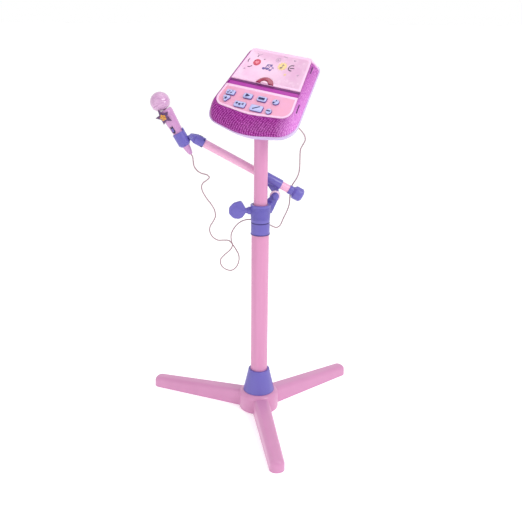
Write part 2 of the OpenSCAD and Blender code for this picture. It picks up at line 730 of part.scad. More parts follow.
module console_body() {
    deck = -panel_t - deck_t;
    color(fuchsia) on_head() difference() {
        union() {
            difference() {
                hull() {
                    slab(panel_plan(panel_lip), -panel_t, -lip_drop);
                    slab(rim_plan(-2), -rim_drop, -rim_drop + 1);
                }
                hull() {
                    slab(panel_plan(panel_lip - shell_t), deck - 1, deck);
                    slab(rim_plan(-2 - shell_t), -rim_drop - 1, -rim_drop + 1);
                }
            }
            for (p = post_at) translate([p.x, p.y, -rim_drop - rim_t]) cylinder(r = post_r, h = rim_drop + rim_t - 5);
            for (p = board_posts) translate([p.x, p.y, board_z]) cylinder(r = board_post_r, h = -board_z - 5);
        }
        slab(panel_plan(0.15), -panel_t, 1);
        intersection() {
            slab(panel_plan(0.15), -panel_t - strip_depth, 1);
            box(-200, 200, strip_front, strip_rear, -panel_t - strip_depth, 1);
        }
        for (i = [0:7]) button_slot(i, button_gap, deck - cut, 1);
        for (p = post_at) translate([p.x, p.y, -rim_drop - rim_t - cut]) cylinder(r = case_screw_r + 0.05, h = 14);
    }
}
module console_screws() {
    color(steel) on_head() for (p = post_at) translate([p.x, p.y, -console_t]) {
        translate([0, 0, 1.6]) cylinder(r = case_head_r, h = 2.3);
        translate([0, 0, 3]) cylinder(r = case_screw_r, h = 30);
    }
}
module top_panel() {
    color(pale_pink) on_head() intersection() {
        slab(panel_plan(0), -panel_t + 0.02, 0);
        box(-200, 200, strip_rear, 200, -panel_t, 0);
    }
}
module button_panel() {
    color(panel_pink) on_head() difference() {
        intersection() {
            slab(panel_plan(0), -panel_t + 0.02, 0);
            box(-200, 200, -200, strip_front, -panel_t, 0);
        }
        for (i = [0:7]) button_slot(i, button_gap, -panel_t - cut, 1);
    }
}

// ---- lamp dome
// the dome's ring is centred in front of the panel's edge and cut off along it
module dome_cut() intersection() {
    translate([dome_x, strip_rear - dome_back, 0.02]) children();
    box(dome_x - dome_r - 1, dome_x + dome_r + 1, strip_rear, strip_rear + dome_r, 0, 6);
}
module dome_lens() {
    color([0.65, 0.15, 0.25]) on_head() dome_cut() rotate_extrude()
        polygon([[dome_in, 0], [dome_r, 0], [dome_r - 1, 2], [dome_r - 4, 4], [dome_in + 2, 5], [dome_in, 5]]);
}
module dome_core() {
    color([0.95, 0.7, 0.75]) on_head() dome_cut() rotate_extrude()
        polygon([[0, 0], [dome_in - 0.1, 0], [dome_in - 0.1, 4], [dome_in - 2, 5], [0, 5.4]]);
}

// ---- buttons: outline of each, grown by g
module button_shape(i, g) {
    a = [[9.5, 5.5], [9.5, 5.5], [9.5, 5.5], [6.6, 5.4], [0, 0], [12, 6.2], [13, 6.6], [0, 0]][i];
    if (i == 4) {
        polygon(rounded([[-9.6 - g, 7 + g], [0, -9.6 - g * 1.6], [9.6 + g, 7 + g]], [3 + g, 3 + g, 3 + g]));
    } else if (i == 7) {
        circle(r = 5.8 + g);
    } else {
        r = (i == 3 ? 5.3 : 2.5) + g;
        polygon(rounded([[a.x + g, a.y + g], [-a.x - g, a.y + g], [-a.x - g, -a.y - g], [a.x + g, -a.y - g]],
            [r, r, r, r]));
    }
}
module button_slot(i, g, z0, z1) {
    translate([button_at[i].x, button_at[i].y, z0]) linear_extrude(z1 - z0) button_shape(i, g);
}
module button(i) {
    deck = -panel_t - deck_t;
    color(lavender) on_head() {
        button_slot(i, 0, deck - fit - 0.2, button_up);
        button_slot(i, flange_out, deck - fit - flange_t, deck - fit);
        translate([button_at[i].x, button_at[i].y, board_z + tact_t + button_travel + part_gap])
            cylinder(r = stem_r, h = 5);
    }
}
module button_1() button(0);
module button_2() button(1);
module button_3() button(2);
module button_4() button(3);
module button_5() button(4);
module button_6() button(5);
module button_7() button(6);
module button_8() button(7);

// ---- inside the console
module key_board() {
    color(board_green) on_head() box(-67, 52, -69, -24, board_z - board_t, board_z);
}
module tact_switches() {
    color([0.15, 0.15, 0.17]) on_head() for (p = button_at)
        box(p.x - tact / 2, p.x + tact / 2, p.y - tact / 2, p.y + tact / 2, board_z + 0.01, board_z + tact_t);
}
module main_board() {
    color(board_green) on_head() box(33, 65, 3, 47, -console_t + 8 + 0.02, -console_t + 8 + board_t);
}
module speaker() {
    color([0.2, 0.2, 0.22]) on_head() translate([speaker_at.x, speaker_at.y, -console_t + shell_t + fit]) {
        cylinder(r = speaker_r * 0.6, h = speaker_t);
        translate([0, 0, 5]) cylinder(r = speaker_r, h = speaker_t - 5);
    }
}
module batteries() {
    color([0.25, 0.25, 0.3]) on_head() for (k = [0:3])
        translate([0, cell_v + k * cell_pitch, -console_t + door_t + 0.3 + cell_r]) along_x(-cell_l / 2, cell_l / 2, cell_r);
}
module battery_contacts() {
    color(steel) on_head() for (s = [-1, 1], k = [0:3])
        translate([s * (cell_l / 2 + 1.3), cell_v + k * cell_pitch, -console_t + door_t + 0.3 + cell_r])
            along_x(-1.1, 1.1, 4.5);
}
module battery_door() {
    color(rim_lilac) on_head() box(-cell_l / 2 - 2.2, cell_l / 2 + 2.2, cell_v - cell_r - 0.4,
        box_top() + 0.3, -console_t, -console_t + door_t);
}
module power_slider() {
    color(purple) on_head() translate([slider_at.x, slider_at.y, -console_t]) {
        box(-5, 5, -2.5, 2.5, -1.4, shell_t + 1);
        box(-7, 7, -4, 4, shell_t + fit, shell_t + 1.4);
    }
}
module cord_gland() {
    color([0.8, 0.6, 0.68]) on_head() translate([gland_at.x, gland_at.y, -console_t]) {
        translate([0, 0, -gland_l]) cylinder(r1 = cord_d / 2 + 0.6, r2 = 4.4, h = gland_l - 2);
        translate([0, 0, -2.2]) cylinder(r = 5.6, h = 2.15);
        translate([0, 0, -1]) cylinder(r = 3.4, h = shell_t + 3);
    }
}

base_hub();
leg_front();
leg_right();
leg_left();
hub_plate();
base_screws();
base_cone();
lower_tube();
tube_sleeve();
clamp_collar();
guide_bush();
lock_knob();
lock_screw();
pivot_bolt();
pivot_washer();
boom_sleeve();
boom_tube();
boom_cap();
clip_socket();
clip_pin();
mic_clip();
mic_shell_front();
mic_shell_back();
mic_head();
mic_capsule();
mic_badge();
mic_jewel();
mic_switch();
mic_boot();
mic_cord_low();
mic_cord_mid();
mic_cord_top();
upper_tube();
tube_foot();
pole_socket();
console_bottom();
console_rim();
console_body();
top_panel();
button_panel();
dome_lens();
dome_core();
key_board();
tact_switches();
main_board();
speaker();
batteries();
battery_contacts();
battery_door();
power_slider();
console_screws();
cord_gland();
button_1();
button_2();
button_3();
button_4();
button_5();
button_6();
button_7();
button_8();
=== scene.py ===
import json
import math

import bmesh
import bpy
from mathutils import Matrix, Vector


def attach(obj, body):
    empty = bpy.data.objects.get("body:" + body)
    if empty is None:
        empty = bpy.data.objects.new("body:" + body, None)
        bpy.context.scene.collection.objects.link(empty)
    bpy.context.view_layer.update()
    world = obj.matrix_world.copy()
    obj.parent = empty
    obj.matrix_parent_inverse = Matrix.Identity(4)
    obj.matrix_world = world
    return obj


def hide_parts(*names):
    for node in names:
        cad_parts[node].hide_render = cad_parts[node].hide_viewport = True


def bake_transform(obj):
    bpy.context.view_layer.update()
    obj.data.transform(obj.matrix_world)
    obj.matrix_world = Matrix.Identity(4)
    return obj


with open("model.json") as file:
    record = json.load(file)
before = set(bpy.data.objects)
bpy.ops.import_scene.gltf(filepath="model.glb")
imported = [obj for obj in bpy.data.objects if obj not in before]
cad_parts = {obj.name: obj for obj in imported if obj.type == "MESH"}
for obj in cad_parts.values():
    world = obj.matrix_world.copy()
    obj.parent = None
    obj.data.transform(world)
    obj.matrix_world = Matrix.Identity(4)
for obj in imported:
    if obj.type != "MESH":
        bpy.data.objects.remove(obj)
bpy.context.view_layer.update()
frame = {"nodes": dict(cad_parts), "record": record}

# The camera stands a metre and a half in front of the stand, a little higher than its middle,
# and looks slightly down on it. The pole and all that it carries are turned a little against the legs.
MM = 0.001
MAST_TURN = math.radians(-8.5)
CAMERA_AT = (0, -1.4517, 0.8429)
CAMERA_DOWN = math.radians(19.1)
CAMERA_ROLL = 0.010

mast = Matrix.Rotation(MAST_TURN, 4, "Z") @ Matrix.Scale(MM, 4)
lens = bpy.data.cameras.new("camera")
lens.sensor_width = 36
lens.lens = 50.55
lens.shift_x = 0.002
lens.shift_y = 0.001
camera = bpy.data.objects.new("camera", lens)
bpy.context.scene.collection.objects.link(camera)
camera.matrix_world = (
    Matrix.Rotation(MAST_TURN, 4, "Z")
    @ Matrix.Translation(CAMERA_AT)
    @ Matrix.Rotation(math.pi / 2 - CAMERA_DOWN, 4, "X")
    @ Matrix.Rotation(CAMERA_ROLL, 4, "Z")
)
bpy.context.scene.camera = camera
bpy.context.scene.view_settings.view_transform = "Standard"


# The microphone's cord is one limp thin lead, moulded in pinkish vinyl, that hangs from the
# microphone in kinks, makes one loop, passes behind the pole and climbs to the console.
# It is made in six stretches, because five joints lie between its two ends.
CORD_D = 2.4
CORD_LOW = [
    (-142.7, 31, 559.7), (-139.5, 31, 554), (-138.5, 31, 545), (-137, 31, 535), (-131, 31, 526),
    (-122, 31, 520), (-112, 31, 517.5), (-106, 31, 512), (-111, 31, 506), (-119, 31, 500),
    (-122.5, 31, 491), (-119, 31, 479), (-111, 30, 466), (-102, 30, 454), (-95.5, 30, 441),
    (-94.5, 30, 428), (-100, 30, 416.5), (-106, 30, 406), (-106, 30, 394), (-100, 30, 383.5),
    (-90, 30, 377), (-77, 30, 377), (-66, 30, 376), (-58, 30, 367), (-51, 30, 356),
    (-45.5, 29, 345), (-45, 28, 332), (-50, 27, 319), (-60, 26, 311), (-72, 25, 313),
    (-82, 24, 322), (-84, 24, 335), (-76, 23, 346), (-65, 23, 356), (-58.5, 23, 367),
    (-61, 23, 380), (-60.5, 24, 394), (-53, 25, 408), (-42, 26, 418.5), (-29, 26.5, 423.5),
    (-15, 27, 423.5), (0, 27, 421),
]
CORD_MID = [
    (0, 27, 421), (12, 27.5, 416.5), (24, 28.5, 410), (34, 32, 405.5), (42, 38, 409),
    (48, 44, 421), (55, 48, 435), (60, 50, 449), (61.5, 50, 464), (62, 50, 479), (66, 50, 493),
    (74, 50, 506), (79, 50, 519), (80.5, 50, 533), (80.5, 50, 547), (80.5, 50, 560),
]
CORD_TOP = [
    (80.5, 50, 560), (81.5, 50, 569), (86, 50, 578), (90, 48, 587), (89, 43, 596),
    (84, 35, 605), (77.5, 25.5, 613), (72, 15.5, 620.5), (68, 5.7, 628), (64.6, -2.9, 637.4),
]
# name, route, first and last point on it, the body before and the body after
CORD_STRETCHES = [
    ("cord_at_microphone", CORD_LOW, 0, 5, "microphone", "clip"),
    ("cord_at_clip", CORD_LOW, 5, 10, "clip", "boom"),
    ("cord_at_boom", CORD_LOW, 10, 15, "boom", "boom_holder"),
    ("cord_loop", CORD_LOW, 15, 41, "boom_holder", "stand"),
    ("cord_behind_pole", CORD_MID, 0, 15, "stand", "upper_mast"),
    ("cord_to_console", CORD_TOP, 0, 9, "upper_mast", "console"),
]
CORD_STEPS = 4


class Value:
    """A socket of a material's nodes; arithmetic on it adds Math nodes."""

    def __init__(self, paint, socket):
        self.paint, self.socket = paint, socket

    def math(self, operation, *others):
        return self.paint.add("Math", {"operation": operation}, dict(enumerate((self, *others))))

    def __add__(self, other):
        return self.math("ADD", other)

    def __sub__(self, other):
        return self.math("SUBTRACT", other)

    def __rsub__(self, other):
        return self.paint.add("Math", {"operation": "SUBTRACT"}, {0: other, 1: self})

    def __mul__(self, other):
        return self.math("MULTIPLY", other)

    def __lt__(self, other):
        return self.math("LESS_THAN", other)

    def __gt__(self, other):
        return self.math("GREATER_THAN", other)

    __radd__ = __add__
    __rmul__ = __mul__


class Paint:
    """A new material. add() makes any node and returns one of its outputs as a Value."""

    def __init__(self, name, fixed=None):
        self.material = bpy.data.materials.new(name)
        self.material.use_nodes = True
        self.tree = self.material.node_tree
        self.shader = self.tree.nodes["Principled BSDF"]
        self.place = self.add("TexCoord", output="Object")
        self.coat(fixed or {})

    def add(self, kind, settings=None, inputs=None, output=0):
        node = self.tree.nodes.new("ShaderNode" + kind)
        for name, value in (settings or {}).items():
            if name == "stops":
                for _ in value[2:]:
                    node.color_ramp.elements.new(0.5)
                for element, (at, colour) in zip(node.color_ramp.elements, value):
                    element.position = at
                    element.color = (*colour, 1)
            else:
                setattr(node, name, value)
        for name, value in (inputs or {}).items():
            self.feed(node.inputs[name], value)
        return Value(self, node.outputs[output])

    def feed(self, socket, value):
        if isinstance(value, Value):
            self.tree.links.new(value.socket, socket)
        elif socket.type == "RGBA":
            socket.default_value = (*value, 1)
        else:
            socket.default_value = value

    def coat(self, values):
        for name, value in values.items():
            self.feed(self.shader.inputs[name], value)

    def mix(self, share, a, b, blend="MIX"):
        settings = {"data_type": "RGBA", "blend_type": blend}
        return self.add("Mix", settings, {0: share, 6: a, 7: b}, output=2)

    def noise(self, scale, detail=2.0, place=None):
        inputs = {"Vector": place or self.place, "Scale": scale, "Detail": detail}
        return self.add("TexNoise", None, inputs)

    def bump(self, height, depth, strength=1.0):
        inputs = {"Height": height, "Distance": depth, "Strength": strength}
        return self.add("Bump", None, inputs)


def colour(red, green, blue):
    """A screen colour, 0 to 255, as the linear values that a shader takes."""
    return tuple(
        c / 12.92 if c <= 0.04045 else ((c + 0.055) / 1.055) ** 2.4
        for c in (red / 255, green / 255, blue / 255)
    )


def smooth_route(points, steps):
    """A curve through points, with steps stretches between each two (Catmull-Rom)."""
    p = [Vector(q) for q in points]
    p = [2 * p[0] - p[1], *p, 2 * p[-1] - p[-2]]
    route = []
    for a, b, c, d in zip(p, p[1:], p[2:], p[3:]):
        for k in range(steps):
            t = k / steps
            route.append(
                0.5 * (2 * b + (c - a) * t + (2 * a - 5 * b + 4 * c - d) * t * t
                       + (3 * b - a - 3 * c + d) * t ** 3)
            )
    return [*route, p[-2]]


def cord_tube(name, route, thickness):
    """A round tube along the route, as a mesh."""
    curve = bpy.data.curves.new(name, "CURVE")
    curve.dimensions = "3D"
    curve.bevel_depth = thickness / 2
    curve.bevel_resolution = 3
    curve.use_fill_caps = True
    spline = curve.splines.new("POLY")
    spline.points.add(len(route) - 1)
    for point, at in zip(spline.points, route):
        point.co = (*at, 1)
    shaped = bpy.data.objects.new(name, curve)
    bpy.context.scene.collection.objects.link(shaped)
    bpy.context.view_layer.update()
    mesh = bpy.data.meshes.new_from_object(shaped)
    bpy.data.objects.remove(shaped)
    for face in mesh.polygons:
        face.use_smooth = True
    tube = bpy.data.objects.new(name, mesh)
    bpy.context.scene.collection.objects.link(tube)
    return tube


cord_paint = Paint("cord_vinyl", {"Roughness": 0.42, "Coat Weight": 0.15, "Coat Roughness": 0.3})
cord_shade = cord_paint.mix(
    cord_paint.noise(160.0), colour(172, 134, 146), colour(150, 112, 124)
)
cord_paint.coat({
    "Base Color": cord_shade,
    "Normal": cord_paint.bump(cord_paint.noise(1400.0), 0.00005, 0.5),
})
whole_low = smooth_route(CORD_LOW, CORD_STEPS)
for name, points, first, last, before, after in CORD_STRETCHES:
    whole = whole_low if points is CORD_LOW else smooth_route(points, CORD_STEPS)
    route = [mast @ p for p in whole[first * CORD_STEPS:last * CORD_STEPS + 1]]
    length = sum((b - a).length for a, b in zip(route, route[1:]))
    tube = cord_tube(name, route, CORD_D * MM)
    tube.data.materials.clear()
    tube.data.materials.append(cord_paint.material)
    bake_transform(tube)
    if points is CORD_MID:
        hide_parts("mic_cord_mid")
    elif points is CORD_TOP:
        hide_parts("mic_cord_top")
    elif last == len(CORD_LOW) - 1:
        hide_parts("mic_cord_low")


# The three legs are hollow pink mouldings, open underneath, with a rounded back and a rounded
# tip. Each is pushed into the hub and held there by a screw from below.
LEG_REACH, LEG_ROOT = 260, 34
LEG_W, LEG_TIP_W = 35, 30
LEG_H, LEG_TIP_H = 36, 23
LEG_WALL = 2.4
LEG_POCKET = 15
TIP_ROUND, BACK_ROUND = 13.5, 10
HERE = Matrix.Identity(4)


def fit(piece, body, slot, *nodes):
    """Lets the piece ride on the body, in place of those CAD nodes. The slot is not used."""
    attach(piece, body)
    if nodes:
        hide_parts(*nodes)


def shift(x, y, z):
    return Matrix.Translation((x, y, z))


def spin(degrees, axis):
    return Matrix.Rotation(math.radians(degrees), 4, axis)


def bevelled(bm, edges, width, segments=3):
    """Rounds those edges of the bmesh."""
    bmesh.ops.bevel(
        bm, geom=edges, offset=width, segments=segments, profile=0.5, affect="EDGES",
        material=-1, clamp_overlap=True,
    )


def placed(bm, name, matrix, paint, crease=35):
    """Makes the object of a finished bmesh, put in place by matrix, with its material."""
    bmesh.ops.transform(bm, matrix=matrix, verts=bm.verts)
    for face in bm.faces:
        face.smooth = True
    for edge in bm.edges:
        edge.smooth = len(edge.link_faces) == 2 and edge.calc_face_angle() < math.radians(crease)
    mesh = bpy.data.meshes.new(name)
    bm.to_mesh(mesh)
    bm.free()
    for p in paint if isinstance(paint, list) else [paint]:
        mesh.materials.append(p.material)
    piece = bpy.data.objects.new(name, mesh)
    bpy.context.scene.collection.objects.link(piece)
    return piece


def moulded(name, base, deeper, roughness=0.34, coat=0.25, grain=700.0, depth=0.00004):
    """Moulded plastic: faint clouds of a deeper tone, fine grain, and gloss that varies a little."""
    paint = Paint(name, {"Coat Weight": coat, "Coat Roughness": 0.18, "IOR": 1.48})
    clouds = paint.noise(11.0, 3.0)
    share = (clouds - 0.35) * 1.6
    streaks = paint.noise(60.0, 2.0)
    tone = paint.mix(share, base, deeper)
    paint.coat({
        "Base Color": paint.mix((streaks - 0.5) * 0.5 + 0.25, tone, base),
        "Roughness": streaks * 0.12 + (roughness - 0.06),
        "Normal": paint.bump(paint.noise(grain, 2.0), depth, 0.5),
    })
    return paint


pink_plastic = moulded("pink_plastic", colour(206, 140, 182), colour(194, 126, 168), 0.36)
for name, turn in (("leg_front", 0), ("leg_right", 120), ("leg_left", 240)):
    bm = bmesh.new()
    bmesh.ops.create_cube(bm, size=2)
    for v in bm.verts:
        tip = v.co.y < 0
        v.co.x *= (LEG_TIP_W if tip else LEG_W) / 2
        v.co.y = -LEG_REACH if tip else -LEG_ROOT
        v.co.z = 0 if v.co.z < 0 else LEG_TIP_H if tip else LEG_H
    tip_edges = [e for e in bm.edges
                 if all(v.co.y < -LEG_REACH + 1 for v in e.verts)
                 and abs(e.verts[0].co.x - e.verts[1].co.x) < 1]
    bevelled(bm, tip_edges, TIP_ROUND, 10)
    bm.faces.ensure_lookup_table()
    back = max(bm.faces, key=lambda f: f.calc_center_median().z * (f.normal.z > 0.5))
    rim = [e for e in back.edges if not all(v.co.y > -LEG_ROOT - 1 for v in e.verts)]
    bevelled(bm, rim, BACK_ROUND, 7)
    under = min(bm.faces, key=lambda f: f.calc_center_median().z)
    bmesh.ops.inset_region(bm, faces=[under], thickness=LEG_WALL, use_even_offset=True)
    pocket = bmesh.ops.extrude_discrete_faces(bm, faces=[under])["faces"]
    bmesh.ops.translate(bm, verts=pocket[0].verts, vec=(0, 0, LEG_POCKET))
    bmesh.ops.recalc_face_normals(bm, faces=bm.faces)
    turned_by = spin(turn, "Z") @ Matrix.Scale(MM, 4)
    leg = placed(bm, name + "_moulding", turned_by, pink_plastic)
    fit(leg, "stand", "pink_plastic", name)


# The hub is a short round pink moulding with a wide soft shoulder. The purple tapered collar
# sits on it and grips the foot of the pole.
HUB_R, HUB_H = 43, 41
CONE_R, CONE_TOP = 34, 92
TUBE_R = 18.3
upright = Matrix.Scale(MM, 4)


def rounded(points, radii, steps=8):
    """The closed outline through points, with each corner rounded to its radius."""
    outline = []
    for i, radius in enumerate(radii):
        here, last, after = (Vector(points[k % len(points)]) for k in (i, i - 1, i + 1))
        if not radius:
            outline.append((here.x, here.y))
            continue
        before, after = (last - here).normalized(), (after - here).normalized()
        half = before.angle(after) / 2
        centre = here + (before + after).normalized() * radius / math.sin(half)
        start = here + before * radius / math.tan(half) - centre
        end = here + after * radius / math.tan(half) - centre
        begin = math.atan2(start.y, start.x)
        sweep = (math.atan2(end.y, end.x) - begin + math.pi) % (2 * math.pi) - math.pi
        for k in range(steps + 1):
            angle = begin + sweep * k / steps
            outline.append((centre.x + radius * math.cos(angle), centre.y + radius * math.sin(angle)))
    return outline


def turned(profile, steps=72, sweep=360, into=None):
    """A solid turned about Z from a closed outline of (radius, height) points."""
    bm = into or bmesh.new()
    line = [bm.verts.new((r, 0, z)) for r, z in profile]
    edges = [bm.edges.new((a, b)) for a, b in zip(line, line[1:] + line[:1])]
    whole = sweep == 360
    made = bmesh.ops.spin(
        bm, geom=line + edges, cent=(0, 0, 0), axis=(0, 0, 1), angle=math.radians(sweep),
        steps=steps, use_merge=whole,
    )
    if not whole:
        ends = [e for e in made["geom_last"] if isinstance(e, bmesh.types.BMEdge)]
        bmesh.ops.contextual_create(bm, geom=edges)
        bmesh.ops.contextual_create(bm, geom=ends)
    bmesh.ops.remove_doubles(bm, verts=bm.verts, dist=1e-4)
    bmesh.ops.dissolve_degenerate(bm, edges=bm.edges, dist=1e-5)
    bmesh.ops.recalc_face_normals(bm, faces=bm.faces)
    return bm


hub = placed(
    turned(rounded(
        [(19, 6), (39.8, 6), (39.8, 0), (HUB_R, 0), (HUB_R, HUB_H), (19, HUB_H)],
        [0.5, 1, 0.6, 1, 11, 0.5],
    )),
    "hub_moulding", upright, pink_plastic,
)
fit(hub, "stand", "pink_plastic", "base_hub")

purple_plastic = moulded("purple_plastic", colour(102, 92, 178), colour(88, 78, 163), 0.36)
cone = placed(
    turned(rounded(
        [(31, HUB_H), (CONE_R, HUB_H), (CONE_R - 0.2, HUB_H + 2), (22.9, CONE_TOP),
         (18.5, CONE_TOP), (18.5, CONE_TOP - 5), (20.4, CONE_TOP - 5)],
        [0.3, 0.8, 1, 0.9, 0.4, 0.3, 0.5],
    )),
    "tapered_collar", upright, purple_plastic,
)
fit(cone, "stand", "purple_plastic", "base_cone")


# The two tubes are extruded pink plastic, glossy along their length. The thinner slides in the
# wider and is clamped at the height that the child needs.
LOWER_TOP, UPPER_TOP = 426, 641
UPPER_R = 14.1
tube_pink = Paint("pink_tube", {"Coat Weight": 0.35, "Coat Roughness": 0.15, "IOR": 1.48})
drawn = tube_pink.add("Mapping", None, {"Vector": tube_pink.place, "Scale": (120.0, 120.0, 3.0)})
lines = tube_pink.noise(1.0, 3.0, drawn)
tube_pink.coat({
    "Base Color": tube_pink.mix(lines, colour(212, 144, 184), colour(202, 130, 172)),
    "Roughness": lines * 0.16 + 0.24,
    "Normal": tube_pink.bump(lines, 0.00006, 0.4),
})
for name, node, body, r, wall, low, top in (
    ("lower_pole", "lower_tube", "stand", TUBE_R, 1.5, 4, LOWER_TOP),
    ("upper_pole", "upper_tube", "upper_mast", UPPER_R, 1.5, 250, UPPER_TOP),
):
    tube = placed(
        turned(rounded([(r - wall, low), (r, low), (r, top), (r - wall, top)], [0.3] * 4, 3), 96),
        name, upright, tube_pink,
    )
    fit(tube, body, "pink_tube", node)


# The clamp is two purple mouldings: a plain sleeve glued to the tube's top, and above it the
# collar, finely ribbed for grip, with a boss for the lock screw and an ear for the boom.
COLLAR_H = 38
RIB_FIRST, RIB_PITCH, RIB_COUNT, RIB_DEPTH = 434.5, 2.6, 10, 0.55
KNOB_Z = 450.5
PIVOT = (30, 31, 475)
collar_bottom_r, collar_top_r = 19.2, 20.8


def thicken(bm, faces, way):
    """Gives flat faces a thickness along way."""
    made = bmesh.ops.extrude_face_region(bm, geom=faces)["geom"]
    moved = [v for v in made if isinstance(v, bmesh.types.BMVert)]
    bmesh.ops.translate(bm, verts=moved, vec=way)
    bmesh.ops.recalc_face_normals(bm, faces=bm.faces)


def stood(points, thickness, width, segments=3):
    """A plate with that outline in its XZ plane, thickness along Y from 0, with rounded edges."""
    bm = bmesh.new()
    face = bm.faces.new([bm.verts.new((x, 0, z)) for x, z in points])
    thicken(bm, [face], (0, thickness, 0))
    rim = [e for e in bm.edges if e.calc_face_angle(0) > math.radians(40)]
    bevelled(bm, rim, width, segments)
    return bm


def joined(shapes):
    """One bmesh that holds several, each already in its place."""
    whole = bmesh.new()
    for bm, matrix in shapes:
        bmesh.ops.transform(bm, matrix=matrix, verts=bm.verts)
        part = bpy.data.meshes.new("part")
        bm.to_mesh(part)
        bm.free()
        whole.from_mesh(part)
        bpy.data.meshes.remove(part)
    return whole


def cuboid(x, y, z, width, segments=2):
    """A block of that size about the origin, with rounded edges."""
    bm = bmesh.new()
    bmesh.ops.create_cube(bm, size=1)
    bmesh.ops.scale(bm, vec=(x, y, z), verts=bm.verts)
    bevelled(bm, list(bm.edges), width, segments)
    return bm


def circle(x, z, r, steps=24, begin=0, sweep=360):
    """Points round a circle, or round an arc of it."""
    count = steps if sweep == 360 else steps + 1
    return [(x + r * math.cos(math.radians(begin + sweep * k / steps)),
             z + r * math.sin(math.radians(begin + sweep * k / steps))) for k in range(count)]


sleeve = placed(
    turned(rounded(
        [(18.4, 401), (20, 401), (20, 403.5), (19.4, 404.2), (19.4, 425.6), (18.4, 425.6)],
        [0.2, 0.6, 0.4, 0.3, 0.7, 0.2], 3,
    ), 96),
    "pole_sleeve", mast, purple_plastic,
)
fit(sleeve, "stand", "purple_plastic", "tube_sleeve")

wall_line = [(16, 426.4), (collar_bottom_r, 426.4)]
for k in range(RIB_COUNT):
    z = RIB_FIRST + k * RIB_PITCH
    r = collar_bottom_r + (collar_top_r - collar_bottom_r) * min(1, (z - 426) / 24)
    wall_line += [(r, z - 0.7), (r - RIB_DEPTH, z - 0.35), (r - RIB_DEPTH, z + 0.35), (r, z + 0.7)]
wall_line += [(collar_top_r, 463), (collar_top_r - 1, 464), (16.6, 464), (16, 463.4)]
boss = turned(rounded([(0, 0), (8, 0), (8, 9), (0, 9)], [0, 1, 1, 0], 3), 48)
ear_outline = (
    circle(PIVOT[0], PIVOT[2], 8, 16, -25, 180)
    + [(9, 463), (9, 443), (25, 443)]
)
ear = stood(ear_outline, 5, 1, 3)
collar = placed(
    joined([
        (turned(wall_line, 96), HERE),
        (boss, shift(-17, 0, KNOB_Z) @ spin(-90, "Y")),
        (cuboid(16, 15.5, 22, 2, 3), shift(16, 17.8, 453)),
        (ear, shift(0, 20.5, 0)),
    ]),
    "clamp_moulding", mast, purple_plastic,
)
fit(collar, "stand", "purple_plastic", "clamp_collar")

# Two thin dark rings, painted as shadow, run round the split between the two and under the sleeve's
# lip.
groove_shadow_paint = moulded("groove_shadow", colour(52, 38, 116), colour(40, 28, 92), 0.5, 0.1)
grooves = placed(
    joined([
        (turned([(18.6, low), (r, low), (r, top), (18.6, top)], 96), HERE)
        for r, low, top in ((19.5, 425, 427.3), (20.15, 401, 402.9))
    ]),
    "clamp_shadow_rings", mast, groove_shadow_paint,
)
fit(grooves, "stand", "purple_plastic")


# The lock knob is a flat purple paddle, thick enough to turn with two fingers, on a round neck
# that is moulded round the steel lock screw.
KNOB_T = 9
paddle_outline = rounded(
    [(-31, 6), (-37.5, 17.5), (-41, 20.3), (-55, 15.8), (-64.5, 6), (-64.5, -7), (-55, -16.5),
     (-44, -17.5), (-37, -14.5), (-31, -6)],
    [2, 2, 2.5, 9, 9, 9, 9, 6, 4, 2], 5,
)
neck = turned(rounded([(0, 0), (6.6, 0), (5.2, 6), (5.2, 18), (0, 18)], [0, 1, 2, 1, 0], 4), 48)
hollow = turned(rounded([(0, 0), (9.5, 0), (9.5, 0.9), (0, 0.9)], [0, 0.3, 0.4, 0], 3), 48)
knob = placed(
    joined([
        (stood(paddle_outline, KNOB_T, 2.4, 4), shift(0, -KNOB_T / 2, 0)),
        (neck, shift(-25.4, 0, 0) @ spin(-90, "Y")),
        (hollow, shift(-49, -KNOB_T / 2 + 0.3, 0) @ spin(90, "X")),
    ]),
    "lock_paddle", mast @ shift(0, 0, KNOB_Z), purple_plastic,
)
fit(knob, "knob", "purple_plastic", "lock_knob")


# The boom's sleeve is a purple tube with a lug. It turns on a steel bolt through the collar's
# ear, with a pale friction washer between the two.
BOOM_SLOPE = math.radians(28.3)
BOOM_RISE = 25.4
BOOM_R = 8.5
LUG_Y, LUG_T = -2.3, 7
pivot = mast @ Matrix.Translation(PIVOT) @ Matrix.Rotation(BOOM_SLOPE, 4, "Y")
boom = pivot @ shift(0, 0, BOOM_RISE)
along_x = spin(90, "Y")
along_y = spin(-90, "X")

lug_outline = circle(0, 0, 8.5, 16, 160, 220) + [(-3, BOOM_RISE - 6), (-40, BOOM_RISE - 6)]
barrel = turned(rounded(
    [(8.56, -50), (10.4, -50), (10.4, 0), (8.56, 0)], [0.2, 1, 1, 0.2], 4), 64)
holder = placed(
    joined([
        (barrel, shift(0, 0, BOOM_RISE) @ along_x),
        (stood(lug_outline, LUG_T, 1.2, 3), shift(0, LUG_Y, 0)),
    ]),
    "boom_holder_moulding", pivot, purple_plastic,
)
fit(holder, "boom_holder", "purple_plastic", "boom_sleeve")

pale_plastic = moulded("pale_pink_plastic", colour(246, 214, 232), colour(240, 202, 224), 0.3)
washer = placed(
    turned(rounded([(2.6, 0), (11.5, 0), (11.5, 3), (2.6, 3)], [0.2, 0.8, 0.8, 0.2], 3), 64),
    "friction_washer", pivot @ shift(0, -5.4, 0) @ along_y, pale_plastic,
)
fit(washer, "boom_holder", "panel_pale", "pivot_washer")

